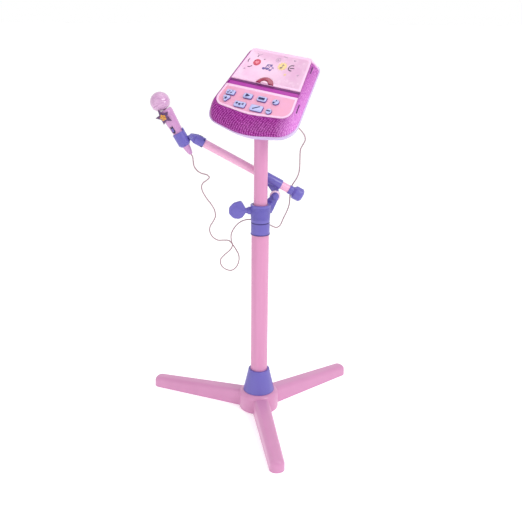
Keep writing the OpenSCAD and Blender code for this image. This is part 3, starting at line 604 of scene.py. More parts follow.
steel = Paint("plated_steel", {"Metallic": 1.0, "IOR": 2.5})
brushed = steel.noise(500.0, 3.0)
steel.coat({
    "Base Color": steel.mix(brushed, colour(196, 196, 202), colour(168, 169, 176)),
    "Roughness": brushed * 0.25 + 0.22,
    "Normal": steel.bump(brushed, 0.00003, 0.3),
})
bolt_head = turned(rounded([(0, 0), (5, 0), (5, 2), (3, 3), (0, 3)], [0, 0.3, 1, 1, 0], 4), 48)
shank = turned([(0, 0), (2.5, 0), (2.5, 17.6), (0, 17.6)], 32)
nut = bmesh.new()
bmesh.ops.create_cone(nut, cap_ends=True, segments=6, radius1=5, radius2=5, depth=3.8)
bevelled(nut, list(nut.edges), 0.4, 2)
bolt = placed(
    joined([
        (bolt_head, shift(0, -10.6, 0) @ spin(90, "X")),
        (shank, shift(0, -11.5, 0) @ along_y),
        (nut, shift(0, 6.7, 0) @ along_y),
    ]),
    "boom_bolt", pivot, steel,
)
fit(bolt, "stand", "steel", "pivot_bolt")

# A purple cap is pressed over the bolt's head.
cover = placed(
    turned(rounded([(0, -2.4), (6.2, -2.4), (6.2, 1.6), (0, 2.4)], [0, 0.2, 1.8, 0], 4), 48),
    "bolt_cover", pivot @ shift(0, -12.2, 0) @ spin(90, "X"), purple_plastic,
)
fit(cover, "stand", "purple_plastic")


# The boom is a thin pink tube. A faceted purple cap closes its low end and a purple socket
# with a fork is pushed on its high end.
BOOM_LEFT, BOOM_RIGHT = -196, 37
SOCKET_LEFT, SOCKET_RIGHT = -199.5, -179
CLIP_X = -207.3
# The boom is the poles' pink tube plastic, painted lighter as the light from above falls on it.
lit_boom_pink = Paint("boom_tube", {"Coat Weight": 0.35, "Coat Roughness": 0.15, "IOR": 1.48})
flow = lit_boom_pink.noise(70.0, 3.0)
lit_boom_pink.coat({
    "Base Color": lit_boom_pink.mix(flow, colour(236, 178, 208), colour(224, 160, 196)),
    "Roughness": flow * 0.16 + 0.26,
    "Normal": lit_boom_pink.bump(lit_boom_pink.noise(600.0), 0.00005, 0.4),
})
rod = placed(
    turned(rounded(
        [(7.3, BOOM_LEFT), (BOOM_R, BOOM_LEFT), (BOOM_R, BOOM_RIGHT), (7.3, BOOM_RIGHT)],
        [0.2] * 4, 2), 64),
    "boom_rod", boom @ along_x, lit_boom_pink,
)
fit(rod, "boom", "pink_tube", "boom_tube")

cap_neck = turned(rounded([(8.5, 18), (9.4, 18), (9.4, 30), (8.5, 30)], [0, 0.4, 0, 0], 3), 48)
cap_head = bmesh.new()
bmesh.ops.create_cone(cap_head, cap_ends=True, segments=8, radius1=14.5, radius2=14.5, depth=22)
ends = [e for e in cap_head.edges if abs(e.verts[0].co.z - e.verts[1].co.z) < 1]
bevelled(cap_head, ends, 3.6, 1)
bevelled(cap_head, [e for e in cap_head.edges if e.calc_face_angle(0) > 0.3], 0.9, 3)
cap = placed(
    joined([(cap_neck, HERE), (cap_head, shift(0, 0, 39))]),
    "boom_end_cap", boom @ along_x, purple_plastic,
)
fit(cap, "boom", "purple_plastic", "boom_cap")

# A plug covers the pin's head on the near side.
socket_tube = turned(rounded(
    [(0, SOCKET_LEFT), (10.4, SOCKET_LEFT), (10.4, SOCKET_RIGHT), (8.55, SOCKET_RIGHT),
     (8.55, SOCKET_LEFT + 3), (0, SOCKET_LEFT + 3)],
    [0, 2.2, 0.8, 0.2, 0.2, 0], 4), 64)
shapes = [(socket_tube, along_x)]
cheek_outline = circle(0, 0, 5.4, 16, 108, 144) + [(8.8, -9), (8.8, 9)]
for y in (-7.5, 2.8):
    shapes.append((stood(cheek_outline, 4.7, 0.9, 3), shift(CLIP_X, y, 0)))
plug = turned(rounded([(0, 0), (3.4, 0), (3.2, 1.7), (0, 1.9)], [0, 0.2, 0.8, 0], 3), 32)
shapes.append((plug, shift(CLIP_X, -7.3, 0) @ spin(90, "X")))
socket = placed(joined(shapes), "boom_socket", boom, purple_plastic)
fit(socket, "boom", "purple_plastic", "clip_socket")

# A moulding slot and two screw wells on the socket are painted dark, as the shade inside them.
shadow = moulded("painted_recess_shade", colour(38, 26, 62), colour(28, 20, 48), 0.6, 0.0)
dark = [(cuboid(7.5, 4.2, 1.2, 0.4), shift(-190, 0, 10))]
for z, lean in ((7.2, 45), (-7.2, 135)):
    well = turned(rounded([(0, 0), (1.5, 0), (1.5, 1), (0, 1)], [0, 0.1, 0.3, 0], 2), 24)
    dark.append((well, shift(-181.5, -7.2, z) @ spin(lean, "X")))
recesses = placed(joined(dark), "socket_recess_shade", boom, shadow)
fit(recesses, "boom", "purple_plastic")


# The clip is a springy open purple barrel that grips the microphone by its tapered handle. Its
# lug sits in the boom's fork.
MIC_LEAN = math.radians(-29.7) - BOOM_SLOPE
MIC_TURN = math.radians(-25)
CLIP_R = 13.2
CLIP_LOW, CLIP_HIGH = -16, 14
MOUTH = 64
mic = (boom @ shift(CLIP_X, 0, 0) @ Matrix.Rotation(MIC_LEAN, 4, "Y")
       @ shift(-19.7, 0, 5.9))
front = mic @ Matrix.Rotation(MIC_TURN, 4, "Z")


def swing(bm, degrees):
    """Turns the bmesh about Z."""
    about_z = Matrix.Rotation(math.radians(degrees), 3, "Z")
    bmesh.ops.rotate(bm, verts=bm.verts, cent=(0, 0, 0), matrix=about_z)


clip_wall = rounded(
    [(8.5, CLIP_LOW), (CLIP_R - 4, CLIP_LOW), (CLIP_R, CLIP_LOW + 5), (CLIP_R, CLIP_HIGH - 3),
     (CLIP_R + 0.5, CLIP_HIGH), (11.25, CLIP_HIGH)],
    [0.3, 0.8, 3, 1, 0.6, 0.3], 4,
)
grip = turned(clip_wall, 64, 360 - MOUTH)
swing(grip, 90 + MOUTH / 2)
lug = stood(circle(19.7, -5.9, 5.2, 16, -90, 180) + [(11, -0.7), (11, -11.1)], 5, 0.6, 2)
lip = turned(rounded(
    [(11.3, 13), (13.3, 13), (13.6, 18), (12.2, 19)], [0.2, 0.2, 0.6, 0.5], 3), 8, 44)
swing(lip, -22)
clip = placed(
    joined([
        (grip, HERE),
        (lug, shift(0, -2.5, 0)),
        (lip, HERE),
    ]),
    "microphone_clip", mic, purple_plastic,
)
fit(clip, "clip", "purple_plastic", "mic_clip")


# The microphone is moulded in pink. Its tapered handle is two halves with a seam, the ball is
# a fine grille over a plain cup, and a soft boot takes the cord.
BALL_R, BALL_Z, BALL_PIT = 20, 84, 0.33
mic_pink = moulded("microphone_pink", colour(198, 144, 192), colour(182, 126, 178), 0.3, 0.35)
handle_line = [(4.2, -31), (5.4, -30.2), (6.1, -27), (8, -16), (10.75, 14), (10.9, 15.6), (10.6, 16),
               (10.9, 16.4), (12.8, 42), (13.5, 50), (13.1, 50.5), (13.5, 51), (14.3, 60), (14.2, 63),
               (12, 66.5), (3, 66.5), (3, -31)]
handle = placed(turned(handle_line, 64), "microphone_handle", mic, mic_pink)
fit(handle, "microphone", "pink_plastic", "mic_shell_front", "mic_shell_back", "mic_capsule")

grille = Paint("ball_grille", {"Coat Weight": 0.9, "Coat Roughness": 0.08, "IOR": 1.5})
bare = grille.add("Mapping", None, {
    "Vector": grille.place, "Rotation": (0.3, 0.5, 0.2), "Scale": (520.0, 520.0, 520.0)})
cells = grille.add("TexVoronoi", {"feature": "F1"}, {
    "Vector": bare, "Scale": 1.0, "Randomness": 0.15})
pit = cells < BALL_PIT
# The pits of the grille are painted darker, as the shade inside its holes.
grille.coat({
    "Base Color": grille.mix(pit * 0.55, colour(202, 156, 196), colour(148, 94, 144)),
    "Roughness": grille.noise(90.0) * 0.12 + 0.22,
    "Normal": grille.bump(1 - pit, 0.0002, 0.2),
})
ball_line = [(0, BALL_Z - BALL_R + 2.4)]
ball_line += [(BALL_R * math.sin(math.radians(a)), BALL_Z - BALL_R * math.cos(math.radians(a)))
              for a in range(40, 66, 4)]
band_r = BALL_R * math.sin(math.radians(68))
band_z = BALL_Z - BALL_R * math.cos(math.radians(68))
ball_line += [(band_r + 0.7, band_z + 0.2), (band_r + 1.2, band_z + 2), (band_r + 1.0, band_z + 4.2),
              (band_r + 0.3, band_z + 4.6)]
ball_line += [(BALL_R * math.sin(math.radians(a)), BALL_Z - BALL_R * math.cos(math.radians(a)))
              for a in range(88, 181, 4)]
ball = placed(turned(ball_line, 72), "microphone_ball", mic, grille)
fit(ball, "microphone", "pink_plastic", "mic_head")

boot = placed(
    turned(rounded(
        [(0, -36), (3.4, -36), (5.2, -31), (5.2, -29), (0, -29)], [0, 1, 1, 0.5, 0], 3), 32),
    "cord_boot", mic, mic_pink,
)
fit(boot, "microphone", "cord", "mic_boot")


# A metallised star and its amber flower decorate the neck. Below them a purple slide switch
# runs in an oblong well.
BADGE_Z, BADGE_OUT, BADGE_TILT = 56, 15.6, math.radians(14)
STAR_R = 18
SWITCH_Z = 24


def star_outline(outer, inner, points=5, begin=90):
    return [((inner if k % 2 else outer) * math.cos(math.radians(begin + 180 * k / points)),
             (inner if k % 2 else outer) * math.sin(math.radians(begin + 180 * k / points)))
            for k in range(2 * points)]


badge_place = front @ shift(0, -BADGE_OUT, BADGE_Z) @ Matrix.Rotation(BADGE_TILT, 4, "X")
foil = Paint("star_foil", {"Metallic": 0.75, "Coat Weight": 0.4, "Coat Roughness": 0.1})
mottle = foil.noise(260.0, 3.0)
foil.coat({
    "Base Color": foil.mix(mottle, colour(120, 84, 140), colour(58, 24, 44)),
    "Roughness": mottle * 0.2 + 0.2,
    "Normal": foil.bump(mottle, 0.0002, 0.4),
})
star = stood(star_outline(STAR_R, STAR_R * 0.48), 2.4, 0.5, 2)
peak = stood(star_outline(STAR_R * 0.74, STAR_R * 0.36), 1.4, 0.6, 2)
peg = turned([(0, 0), (3, 0), (3, 6), (0, 6)], 24)
star_piece = placed(
    joined([
        (star, shift(0, -2.4, 0)),
        (peak, shift(0, -3.2, 0)),
        (peg, shift(0, -0.5, 0) @ along_y),
    ]),
    "star_badge", badge_place, foil,
)
fit(star_piece, "microphone", "badge", "mic_badge")

amber = Paint("amber_jewel", {"Coat Weight": 0.8, "Coat Roughness": 0.05, "Metallic": 0.35})
spark = amber.noise(300.0, 2.0)
amber.coat({
    "Base Color": amber.mix(spark, colour(232, 170, 62), colour(150, 84, 20)),
    "Roughness": spark * 0.15 + 0.15,
    "Normal": amber.bump(spark, 0.0001, 0.3),
})
petals = []
for k in range(5):
    petal = bmesh.new()
    bmesh.ops.create_uvsphere(petal, u_segments=16, v_segments=10, radius=2.9)
    bmesh.ops.scale(petal, vec=(1, 0.55, 1), verts=petal.verts)
    angle = math.radians(90 + 72 * k)
    petals.append((petal, shift(4.4 * math.cos(angle), -3.6, 4.4 * math.sin(angle))))
heart = bmesh.new()
bmesh.ops.create_uvsphere(heart, u_segments=20, v_segments=12, radius=3.2)
bmesh.ops.scale(heart, vec=(1, 0.7, 1), verts=heart.verts)
jewel = placed(joined([*petals, (heart, shift(0, -3.9, 0))]), "amber_flower", badge_place, amber)
fit(jewel, "microphone", "amber", "mic_jewel")

# The shade inside the switch's well is painted on a thin dark plate.
well = stood(rounded([(-3.4, -7), (3.4, -7), (3.4, 11), (-3.4, 11)], [3.3] * 4, 6), 1.2, 0.3, 2)
switch_well_shade = placed(well, "switch_well_shade", front @ shift(0, -12.35, SWITCH_Z) @ spin(-3.5, "X"), shadow)
fit(switch_well_shade, "microphone", "purple_plastic")
thumb = stood(rounded([(-2.3, -3.9), (2.3, -3.9), (2.3, 3.9), (-2.3, 3.9)], [1] * 4, 4), 4.4, 0.6, 3)
thumb_piece = placed(thumb, "switch_thumb", front @ shift(0, -13.4, SWITCH_Z), purple_plastic)
fit(thumb_piece, "mic_slider", "purple_plastic", "mic_switch")


# The console stands on the pole, turned and tilted to face the singer. Its upper shell is one
# fuchsia moulding whose front and sides bulge out from the panel to the rim, and are covered
# in a fine dotted grille.
HEAD_AT = (5.5, -3, 703)
PANEL_REAR, PANEL_FRONT, PANEL_BACK = 66, 86, 80
PANEL_CORNER, PANEL_BOW = 64, 74
RIM_OUT, RIM_BACK_OUT, RIM_FRONT_OUT, RIM_BOW_OUT = 15, 4, 26, 39
RIM_DROP, RIM_T, DEPTH = 20, 4, 48
STRIP_FRONT, STRIP_REAR = -15, 1
PANEL_T = 3
DOT_PITCH, DOT_R = 3.6, 0.28
head = (mast @ Matrix.Translation(HEAD_AT) @ spin(-29, "Z")
        @ spin(7.3, "Y") @ spin(44, "X"))


def plan(rear, front, back, corner, bow, rear_round, front_round, grow, steps=10):
    """The console's outline from above: a taper with rounded corners and a bowed front."""
    points = [(rear + grow, back + grow), (-rear - grow, back + grow), (-front - grow, -corner - grow),
              (0, -bow - grow), (front + grow, -corner - grow)]
    return rounded(points, [rear_round, rear_round, front_round, 150, front_round], steps)


def panel_plan(grow):
    return plan(PANEL_REAR, PANEL_FRONT, PANEL_BACK, PANEL_CORNER, PANEL_BOW, 10, 20, grow)


def rim_plan(grow):
    return plan(PANEL_REAR + RIM_OUT, PANEL_FRONT + RIM_OUT, PANEL_BACK + RIM_BACK_OUT,
                PANEL_CORNER + RIM_FRONT_OUT, PANEL_BOW + RIM_BOW_OUT, 16, 36, grow)


def between(a, b, share):
    return [(x + (p - x) * share, y + (q - y) * share) for (x, y), (p, q) in zip(a, b)]


def refined(outline):
    """The outline with its long straight sides cut up, the same way for each like outline."""
    fine = []
    for i, (a, b) in enumerate(zip(outline, outline[1:] + outline[:1])):
        parts = 8 if i in LONG_SIDES else 1
        fine += [(a[0] + (b[0] - a[0]) * k / parts, a[1] + (b[1] - a[1]) * k / parts)
                 for k in range(parts)]
    return fine


LONG_SIDES = (10, 21, 54)


def skinned(levels, close_top=True, close_low=True, map_name=None):
    """A shell bridged through outlines of like points, each (outline, height), from the top down."""
    bm = bmesh.new()
    loops, across = [], {}
    drop = 0
    for k, (outline, height) in enumerate(levels):
        ring = [bm.verts.new((x, y, height)) for x, y in outline]
        loops.append([bm.edges.new((a, b)) for a, b in zip(ring, ring[1:] + ring[:1])])
        if k:
            drop += (ring[len(ring) * 2 // 3].co - before[len(ring) * 2 // 3].co).length
        along = 0
        for i, v in enumerate(ring):
            across[v] = (along, drop)
            along += (ring[(i + 1) % len(ring)].co - v.co).length
        before = ring
    for upper, lower in zip(loops, loops[1:]):
        bmesh.ops.bridge_loops(bm, edges=upper + lower)
    if map_name:
        layer = bm.loops.layers.uv.new(map_name)
        for face in bm.faces:
            spots = [across[corner.vert] for corner in face.loops]
            width = max(s[0] for s in spots)
            for corner, (along, drop) in zip(face.loops, spots):
                wrapped = along + (width + 3 if width - along > 200 else 0)
                corner[layer].uv = (wrapped, drop)
    if close_top:
        bmesh.ops.contextual_create(bm, geom=loops[0])
    if close_low:
        bmesh.ops.contextual_create(bm, geom=loops[-1])
    bmesh.ops.recalc_face_normals(bm, faces=bm.faces)
    return bm


inner, outer = refined(panel_plan(2.5)), refined(rim_plan(-2))
levels = [(refined(panel_plan(0.2)), -5), (refined(panel_plan(0.2)), -1.6),
          (refined(panel_plan(0.7)), -1.1), (refined(panel_plan(1.8)), -1.1)]
for k in range(11):
    angle = math.radians(9 * k)
    share = 0.62 * math.sin(angle) + 0.38 * k / 10
    fall = 0.5 * (1 - math.cos(angle)) + 0.5 * k / 10
    levels.append((between(inner, outer, share), -1.4 - (RIM_DROP - 1.4) * fall))
levels += [(refined(rim_plan(-1.8)), -20.6), (refined(rim_plan(-1.7)), -21.2)]
shell = skinned(levels, True, False, "grille_map")

fuchsia = Paint("fuchsia_grille", {"Coat Weight": 0.12, "Coat Roughness": 0.1, "IOR": 1.3})
spread = fuchsia.add("UVMap", {"uv_map": "grille_map"})
slanted = fuchsia.add("Mapping", None, {
    "Vector": spread, "Rotation": (0, 0, math.radians(45)),
    "Scale": (1 / DOT_PITCH, 1 / DOT_PITCH, 1)})
dots = fuchsia.add("TexVoronoi", {"voronoi_dimensions": "2D", "feature": "F1"}, {
    "Vector": slanted, "Scale": 1.0, "Randomness": 0.35})
dot = dots < DOT_R


def head_share(axis, low, high):
    """How far along one of the console's own axes, 0 at low and 1 at high, both in mm."""
    way = head.to_3x3().col[axis].normalized()
    inputs = {0: fuchsia.place, 1: tuple(way)}
    along = fuchsia.add("VectorMath", {"operation": "DOT_PRODUCT"}, inputs, output=1)
    begin = head.translation.dot(way) + low * MM
    scaled = (along - begin) * (1 / ((high - low) * MM))
    return fuchsia.add("Clamp", None, {"Value": scaled})


glow = fuchsia.noise(14.0, 2.0)
# The right side of the shell and its dots are painted lighter, as the light that falls on them.
right_side_light = head_share(0, 62, 92)
rear = head_share(1, 70, 76)
ground = fuchsia.mix(glow, colour(142, 8, 128), colour(98, 4, 96))
ground = fuchsia.mix(right_side_light * 0.9, ground, colour(206, 112, 204))
speck = fuchsia.mix(right_side_light, colour(216, 104, 206), colour(240, 182, 236))
dotted = fuchsia.mix(dot * 0.85, ground, speck)
fuchsia.coat({
    "Base Color": fuchsia.mix(rear, dotted, colour(244, 206, 232)),
    "Roughness": glow * 0.14 + 0.22,
    "Normal": fuchsia.bump(dot, 0.0004, 0.5),
})
body = placed(shell, "console_upper_shell", head, fuchsia)
fit(body, "console", "fuchsia", "console_body")


def on_shell(v, level):
    """The place and the outward way of the shell's right side at v, on one of its rings."""
    ring = [Vector((x, y, levels[level][1])) for x, y in levels[level][0] if x > 0]
    spot = min(ring, key=lambda p: abs(p.y - v))
    below = min((Vector((x, y, levels[level + 1][1])) for x, y in levels[level + 1][0] if x > 0),
                key=lambda p: abs(p.y - v))
    return spot, below - spot


# Two slots on the right side of the shell are painted dark, as the shade inside them.
slot_shadow_paint = moulded("slot_shadow", colour(74, 20, 84), colour(56, 14, 66), 0.5, 0.1)
slots = []
for v, level, length in ((64, 6, 17), (-40, 7, 20)):
    spot, down = on_shell(v, level)
    ahead = (on_shell(v + 8, level)[0] - on_shell(v - 8, level)[0]).normalized()
    outward = ahead.cross(down).normalized()
    outward = outward if outward.z > 0 else -outward
    facing = Matrix((ahead, outward.cross(ahead), outward)).transposed().to_4x4()
    slots.append((cuboid(length, 2.2, 1, 0.4), Matrix.Translation(spot) @ facing))
slot_piece = placed(joined(slots), "side_slots", head, slot_shadow_paint)
fit(slot_piece, "console", "fuchsia")


# A pale lilac rim covers the joint between the shells. Below it the lower shell, in the same
# plastic, tucks in to a flat underside with the battery door, the switch and the cord's exit.
rim_pale = moulded("lilac_rim", colour(206, 178, 222), colour(192, 162, 210), 0.28, 0.4)
lilac = moulded("lilac_shell", colour(196, 178, 220), colour(184, 164, 212), 0.4)
rim_levels = [(refined(rim_plan(-5.5)), -RIM_DROP - RIM_T + 0.2)]
for grow, height in ((-5.5, -RIM_DROP - 0.6), (-1.2, -RIM_DROP - 0.6), (-0.3, -RIM_DROP - 1),
                     (0, -RIM_DROP - 1.8), (-0.3, -RIM_DROP - 3.2), (-1.4, -RIM_DROP - RIM_T)):
    rim_levels.append((refined(rim_plan(grow)), height))
rim_band = skinned(rim_levels, False, False)
rim = placed(rim_band, "console_rim_band", head, rim_pale, 60)
fit(rim, "console", "lilac", "console_rim")

low_levels = []
for grow, height in ((-1.6, -24), (-2.0, -27), (-4.2, -33), (-7.2, -39), (-10.6, -44), (-13.2, -46.8),
                     (-16.5, -47.7), (-20, -47.7)):
    low_levels.append((refined(rim_plan(grow)), height))
under = placed(skinned(low_levels, True, True), "console_lower_shell", head, lilac)
fit(under, "console", "lilac", "console_bottom")

DOOR_L, DOOR_W, RIDGE_PITCH = 54.4, 58.2, 2.6
door_shapes = [(cuboid(DOOR_L, DOOR_W, 1.4, 0.5), shift(0, 32.8, -47.5))]
for k in range(5):
    ridge_at = shift(0, 48 + RIDGE_PITCH * k, -48)
    door_shapes.append((cuboid(18, 1.2, 1.2, 0.4), ridge_at))
door_piece = placed(joined(door_shapes), "battery_hatch", head, lilac)
fit(door_piece, "console", "lilac", "battery_door")

# Four screws close the case from below. Each shows as a steel disc on a wider dark one, painted as the
# shade of its sunk hole.
CASE_SCREWS, UNDERSIDE = ((56, 58), (-56, 58), (70, -20), (-70, -20)), -47.7


def screw_discs(name, r, proud, material, slot):
    """A flat disc at each of the four screws, its face a little proud of the underside."""
    discs = [(turned([(0, -proud), (r, -proud), (r, 0.6), (0, 0.6)], 24),
              shift(x, y, UNDERSIDE)) for x, y in CASE_SCREWS]
    piece = placed(joined(discs), name, head, material)
    fit(piece, "console", slot)


screw_discs("case_screw_well_shade", 2.8, 0.15, shadow, "lilac")
screw_discs("case_screw_heads", 2.3, 0.28, steel, "steel")

# A purple socket under the shell takes the pole's top. Its flange lies against the underside.
SEAT_R, SEAT_BORE, SEAT_LOW, SEAT_TOP = 17, 14.2, 615, 644.5
FLANGE_R, FLANGE_LOW, FLANGE_TOP = 27, -50.5, -47.9
tunnel = turned(rounded(
    [(SEAT_BORE, SEAT_LOW), (SEAT_R, SEAT_LOW), (SEAT_R, SEAT_TOP), (SEAT_BORE, SEAT_TOP)],
    [0.3, 1.2, 0, 0], 3), 72)
plate = turned(rounded(
    [(0, FLANGE_LOW), (FLANGE_R, FLANGE_LOW), (FLANGE_R, FLANGE_TOP), (0, FLANGE_TOP)],
    [0, 1, 0.2, 0], 3), 72)
bmesh.ops.transform(plate, matrix=upright.inverted() @ head @ shift(2, -46, 0), verts=plate.verts)
seat = placed(joined([(tunnel, HERE), (plate, HERE)]), "pole_seat", upright, purple_plastic)
fit(seat, "console", "purple_plastic", "pole_socket")


# Two glossy panels are pressed into the top. Each has a raised pale border round a slightly
# sunk face: the rear one carries the printed picture, the front one the buttons.
def cut_off(bm, at, way):
    """Removes what lies past the line y = at, on the side that way points to."""
    bmesh.ops.bisect_plane(
        bm, geom=bm.verts[:] + bm.edges[:] + bm.faces[:], plane_co=(0, at, 0), plane_no=way,
        clear_outer=True,
    )


def panel(name, low, high, border, sink, paints):
    """The part of the panel's outline between two lines across it, with a raised border."""
    bm = bmesh.new()
    face = bm.faces.new([bm.verts.new((x, y, 0)) for x, y in panel_plan(0)])
    bmesh.ops.recalc_face_normals(bm, faces=bm.faces)
    for at, way in ((low, (0, -1, 0)), (high, (0, 1, 0))):
        if at is not None:
            cut_off(bm, at, way)
    thicken(bm, bm.faces[:], (0, 0, -PANEL_T))
    top = max(bm.faces, key=lambda f: f.calc_center_median().z)
    rim_edges = list(top.edges)
    bevelled(bm, rim_edges, 1.1, 4)
    top = max(bm.faces, key=lambda f: (round(f.calc_center_median().z, 3), f.calc_area()))
    bmesh.ops.inset_region(bm, faces=[top], thickness=border, use_even_offset=True)
    bmesh.ops.inset_region(bm, faces=[top], thickness=0.9, depth=-sink, use_even_offset=True)
    top.material_index = 1
    return placed(bm, name, head, paints)


glossy = {"Coat Weight": 0.6, "Coat Roughness": 0.08, "IOR": 1.5}
picture = Paint("picture_ground", glossy)
wash = picture.noise(22.0, 4.0)
blot = picture.noise(60.0, 2.0)
picture.coat({
    "Base Color": picture.mix(
        (blot - 0.4) * 1.4,
        picture.mix((wash - 0.35) * 2.4, colour(232, 190, 218), colour(218, 160, 202)),
        colour(236, 206, 226),
    ),
    "Roughness": blot * 0.12 + 0.2,
    "Normal": picture.bump(picture.noise(500.0), 0.00003, 0.3),
})
border_pale = moulded("pale_border", colour(240, 196, 226), colour(234, 184, 218), 0.2, 0.6)
rear_panel = panel("picture_panel", STRIP_REAR, None, 3.2, 0.5, [border_pale, picture])
fit(rear_panel, "console", "panel_pale", "top_panel")

keys_ground = Paint("key_panel_pink", glossy)
wash = keys_ground.noise(30.0, 4.0)
keys_ground.coat({
    "Base Color": keys_ground.mix((wash - 0.35) * 2.2, colour(226, 156, 196), colour(228, 150, 168)),
    "Roughness": wash * 0.12 + 0.2,
    "Normal": keys_ground.bump(keys_ground.noise(500.0), 0.00003, 0.3),
})
front_panel = panel("key_panel", None, STRIP_FRONT, 2.6, 0.7, [border_pale, keys_ground])
fit(front_panel, "console", "panel_pink", "button_panel")

# The channel between the panels has a smooth fuchsia floor, with a ledge under the picture
# painted dark as its shadow, and a pale bead along the keys.
CHANNEL_HALF, CHANNEL_TAPER = 77, 0.1375
channel = moulded("channel_fuchsia", colour(176, 36, 164), colour(136, 22, 136), 0.3, 0.2)
ledge_shadow_paint = moulded("channel_shadow", colour(112, 22, 110), colour(92, 16, 98), 0.35, 0.4)
for name, low, high, height, paint in (
    ("channel_floor", -15.6, 1.2, -3.4, channel), ("channel_ledge", -3.4, 1.4, -2.4, ledge_shadow_paint),
    ("channel_bead", -14.6, -12.6, -2.2, border_pale),
):
    bar = bmesh.new()
    bmesh.ops.create_cube(bar, size=1)
    half = CHANNEL_HALF - CHANNEL_TAPER * (low + high) / 2 + 0.2
    bmesh.ops.scale(bar, vec=(2 * half, high - low, 1.6), verts=bar.verts)
    bevelled(bar, [e for e in bar.edges if abs(e.verts[0].co.x - e.verts[1].co.x) > 9], 0.5, 3)
    bar_piece = placed(bar, name, head @ shift(0, (low + high) / 2, height - 0.8), paint)
    fit(bar_piece, "console", "fuchsia")


# The lamp is a deep red half dome of clear plastic that stands on the picture's front edge,
# round a pale pink core.
lens_red = Paint("lamp_red", {"Coat Weight": 1.0, "Coat Roughness": 0.04, "IOR": 1.5})
ripple = lens_red.noise(90.0, 2.0)
lens_red.coat({
    "Base Color": lens_red.mix(ripple, colour(176, 40, 84), colour(132, 22, 58)),
    "Roughness": ripple * 0.1 + 0.1,
    "Normal": lens_red.bump(ripple, 0.0002, 0.3),
})


def cut_ring(profile):
    """A turned ring, cut off along the picture's front edge, which passes behind its centre."""
    bm = turned(profile, 64)
    cut_off(bm, LAMP_BACK, (0, -1, 0))
    bmesh.ops.holes_fill(bm, edges=[e for e in bm.edges if e.is_boundary], sides=0)
    return bm


LAMP_BACK = 4
lamp_place = head @ shift(-1, STRIP_REAR - LAMP_BACK + 0.05, -0.4)
dome = placed(
    cut_ring(rounded(
        [(9.4, 0), (20, 0), (19, 2.6), (15.5, 4.6), (11, 5), (9.4, 4.4)],
        [0, 0.5, 1.5, 3, 1, 0.4], 4)),
    "lamp_dome", lamp_place, lens_red)
fit(dome, "console", "dome_red", "dome_lens")
core = placed(
    cut_ring(rounded([(0, 0), (9.2, 0), (9.2, 3.6), (6, 5.2), (0, 5.4)], [0, 0.3, 1.4, 2, 0], 4)),
    "lamp_core", lamp_place, pale_plastic)
fit(core, "console", "panel_pale", "dome_core")


# The eight buttons are lavender caps with a dark skirt, each with a small dark picture on it.
# They are moulded in six shapes and each is pressed down against a spring.
BUTTON_UP = 3
MARK_SCALE = 1.75
BUTTON_AT = [(-58, -35), (-19, -35), (12, -35), (42, -35),
             (-60.5, -51), (-26, -57.5), (11, -58), (38, -58.5)]


def button_outline(i, grow):
    """The outline of button i, grown by some millimetres."""
    if i == 4:
        points = [(-9.6 - grow, 7 + grow), (0, -9.6 - 1.6 * grow), (9.6 + grow, 7 + grow)]
        return rounded(points, [3 + grow] * 3, 6)
    if i == 7:
        return circle(0, 0, 5.8 + grow, 32)
    x, y = {3: (6.6, 5.4), 5: (12, 6.2), 6: (13, 6.6)}.get(i, (9.5, 5.5))
    r = (5.3 if i == 3 else 2.5) + grow
    x, y = x + grow, y + grow
    return rounded([(x, y), (-x, y), (-x, -y), (x, -y)], [r] * 4, 6)


cap_paint = moulded("lavender_cap", colour(180, 184, 230), colour(164, 168, 220), 0.24, 0.5)
skirt_paint = moulded("navy_skirt", colour(70, 60, 140), colour(52, 44, 116), 0.4, 0.2)
mark_paint = moulded("navy_print", colour(34, 28, 92), colour(24, 20, 74), 0.45, 0.1)


def flat_shape(points, thickness=0.3):
    """A thin print of that outline, flat on the XY plane."""
    bm = bmesh.new()
    face = bm.faces.new([bm.verts.new((x, y, 0)) for x, y in points])
    thicken(bm, [face], (0, 0, thickness))
    return bm


def note(size, lean=0):
    """A quaver: an oval head, a stem and a flag."""
    outlines = [
        [(x * 1.3, y) for x, y in circle(-0.25 * size, -0.55 * size, 0.3 * size, 16)],
        [(-0.05 * size, -0.5 * size), (0.1 * size, -0.5 * size), (0.1 * size, 0.7 * size),
         (-0.05 * size, 0.7 * size)],
        [(0.1 * size, 0.7 * size), (0.1 * size, 0.4 * size), (0.55 * size, 0.1 * size),
         (0.5 * size, 0.35 * size)],
    ]
    bm = joined([(flat_shape(outline), HERE) for outline in outlines])
    swing(bm, lean)
    return bm


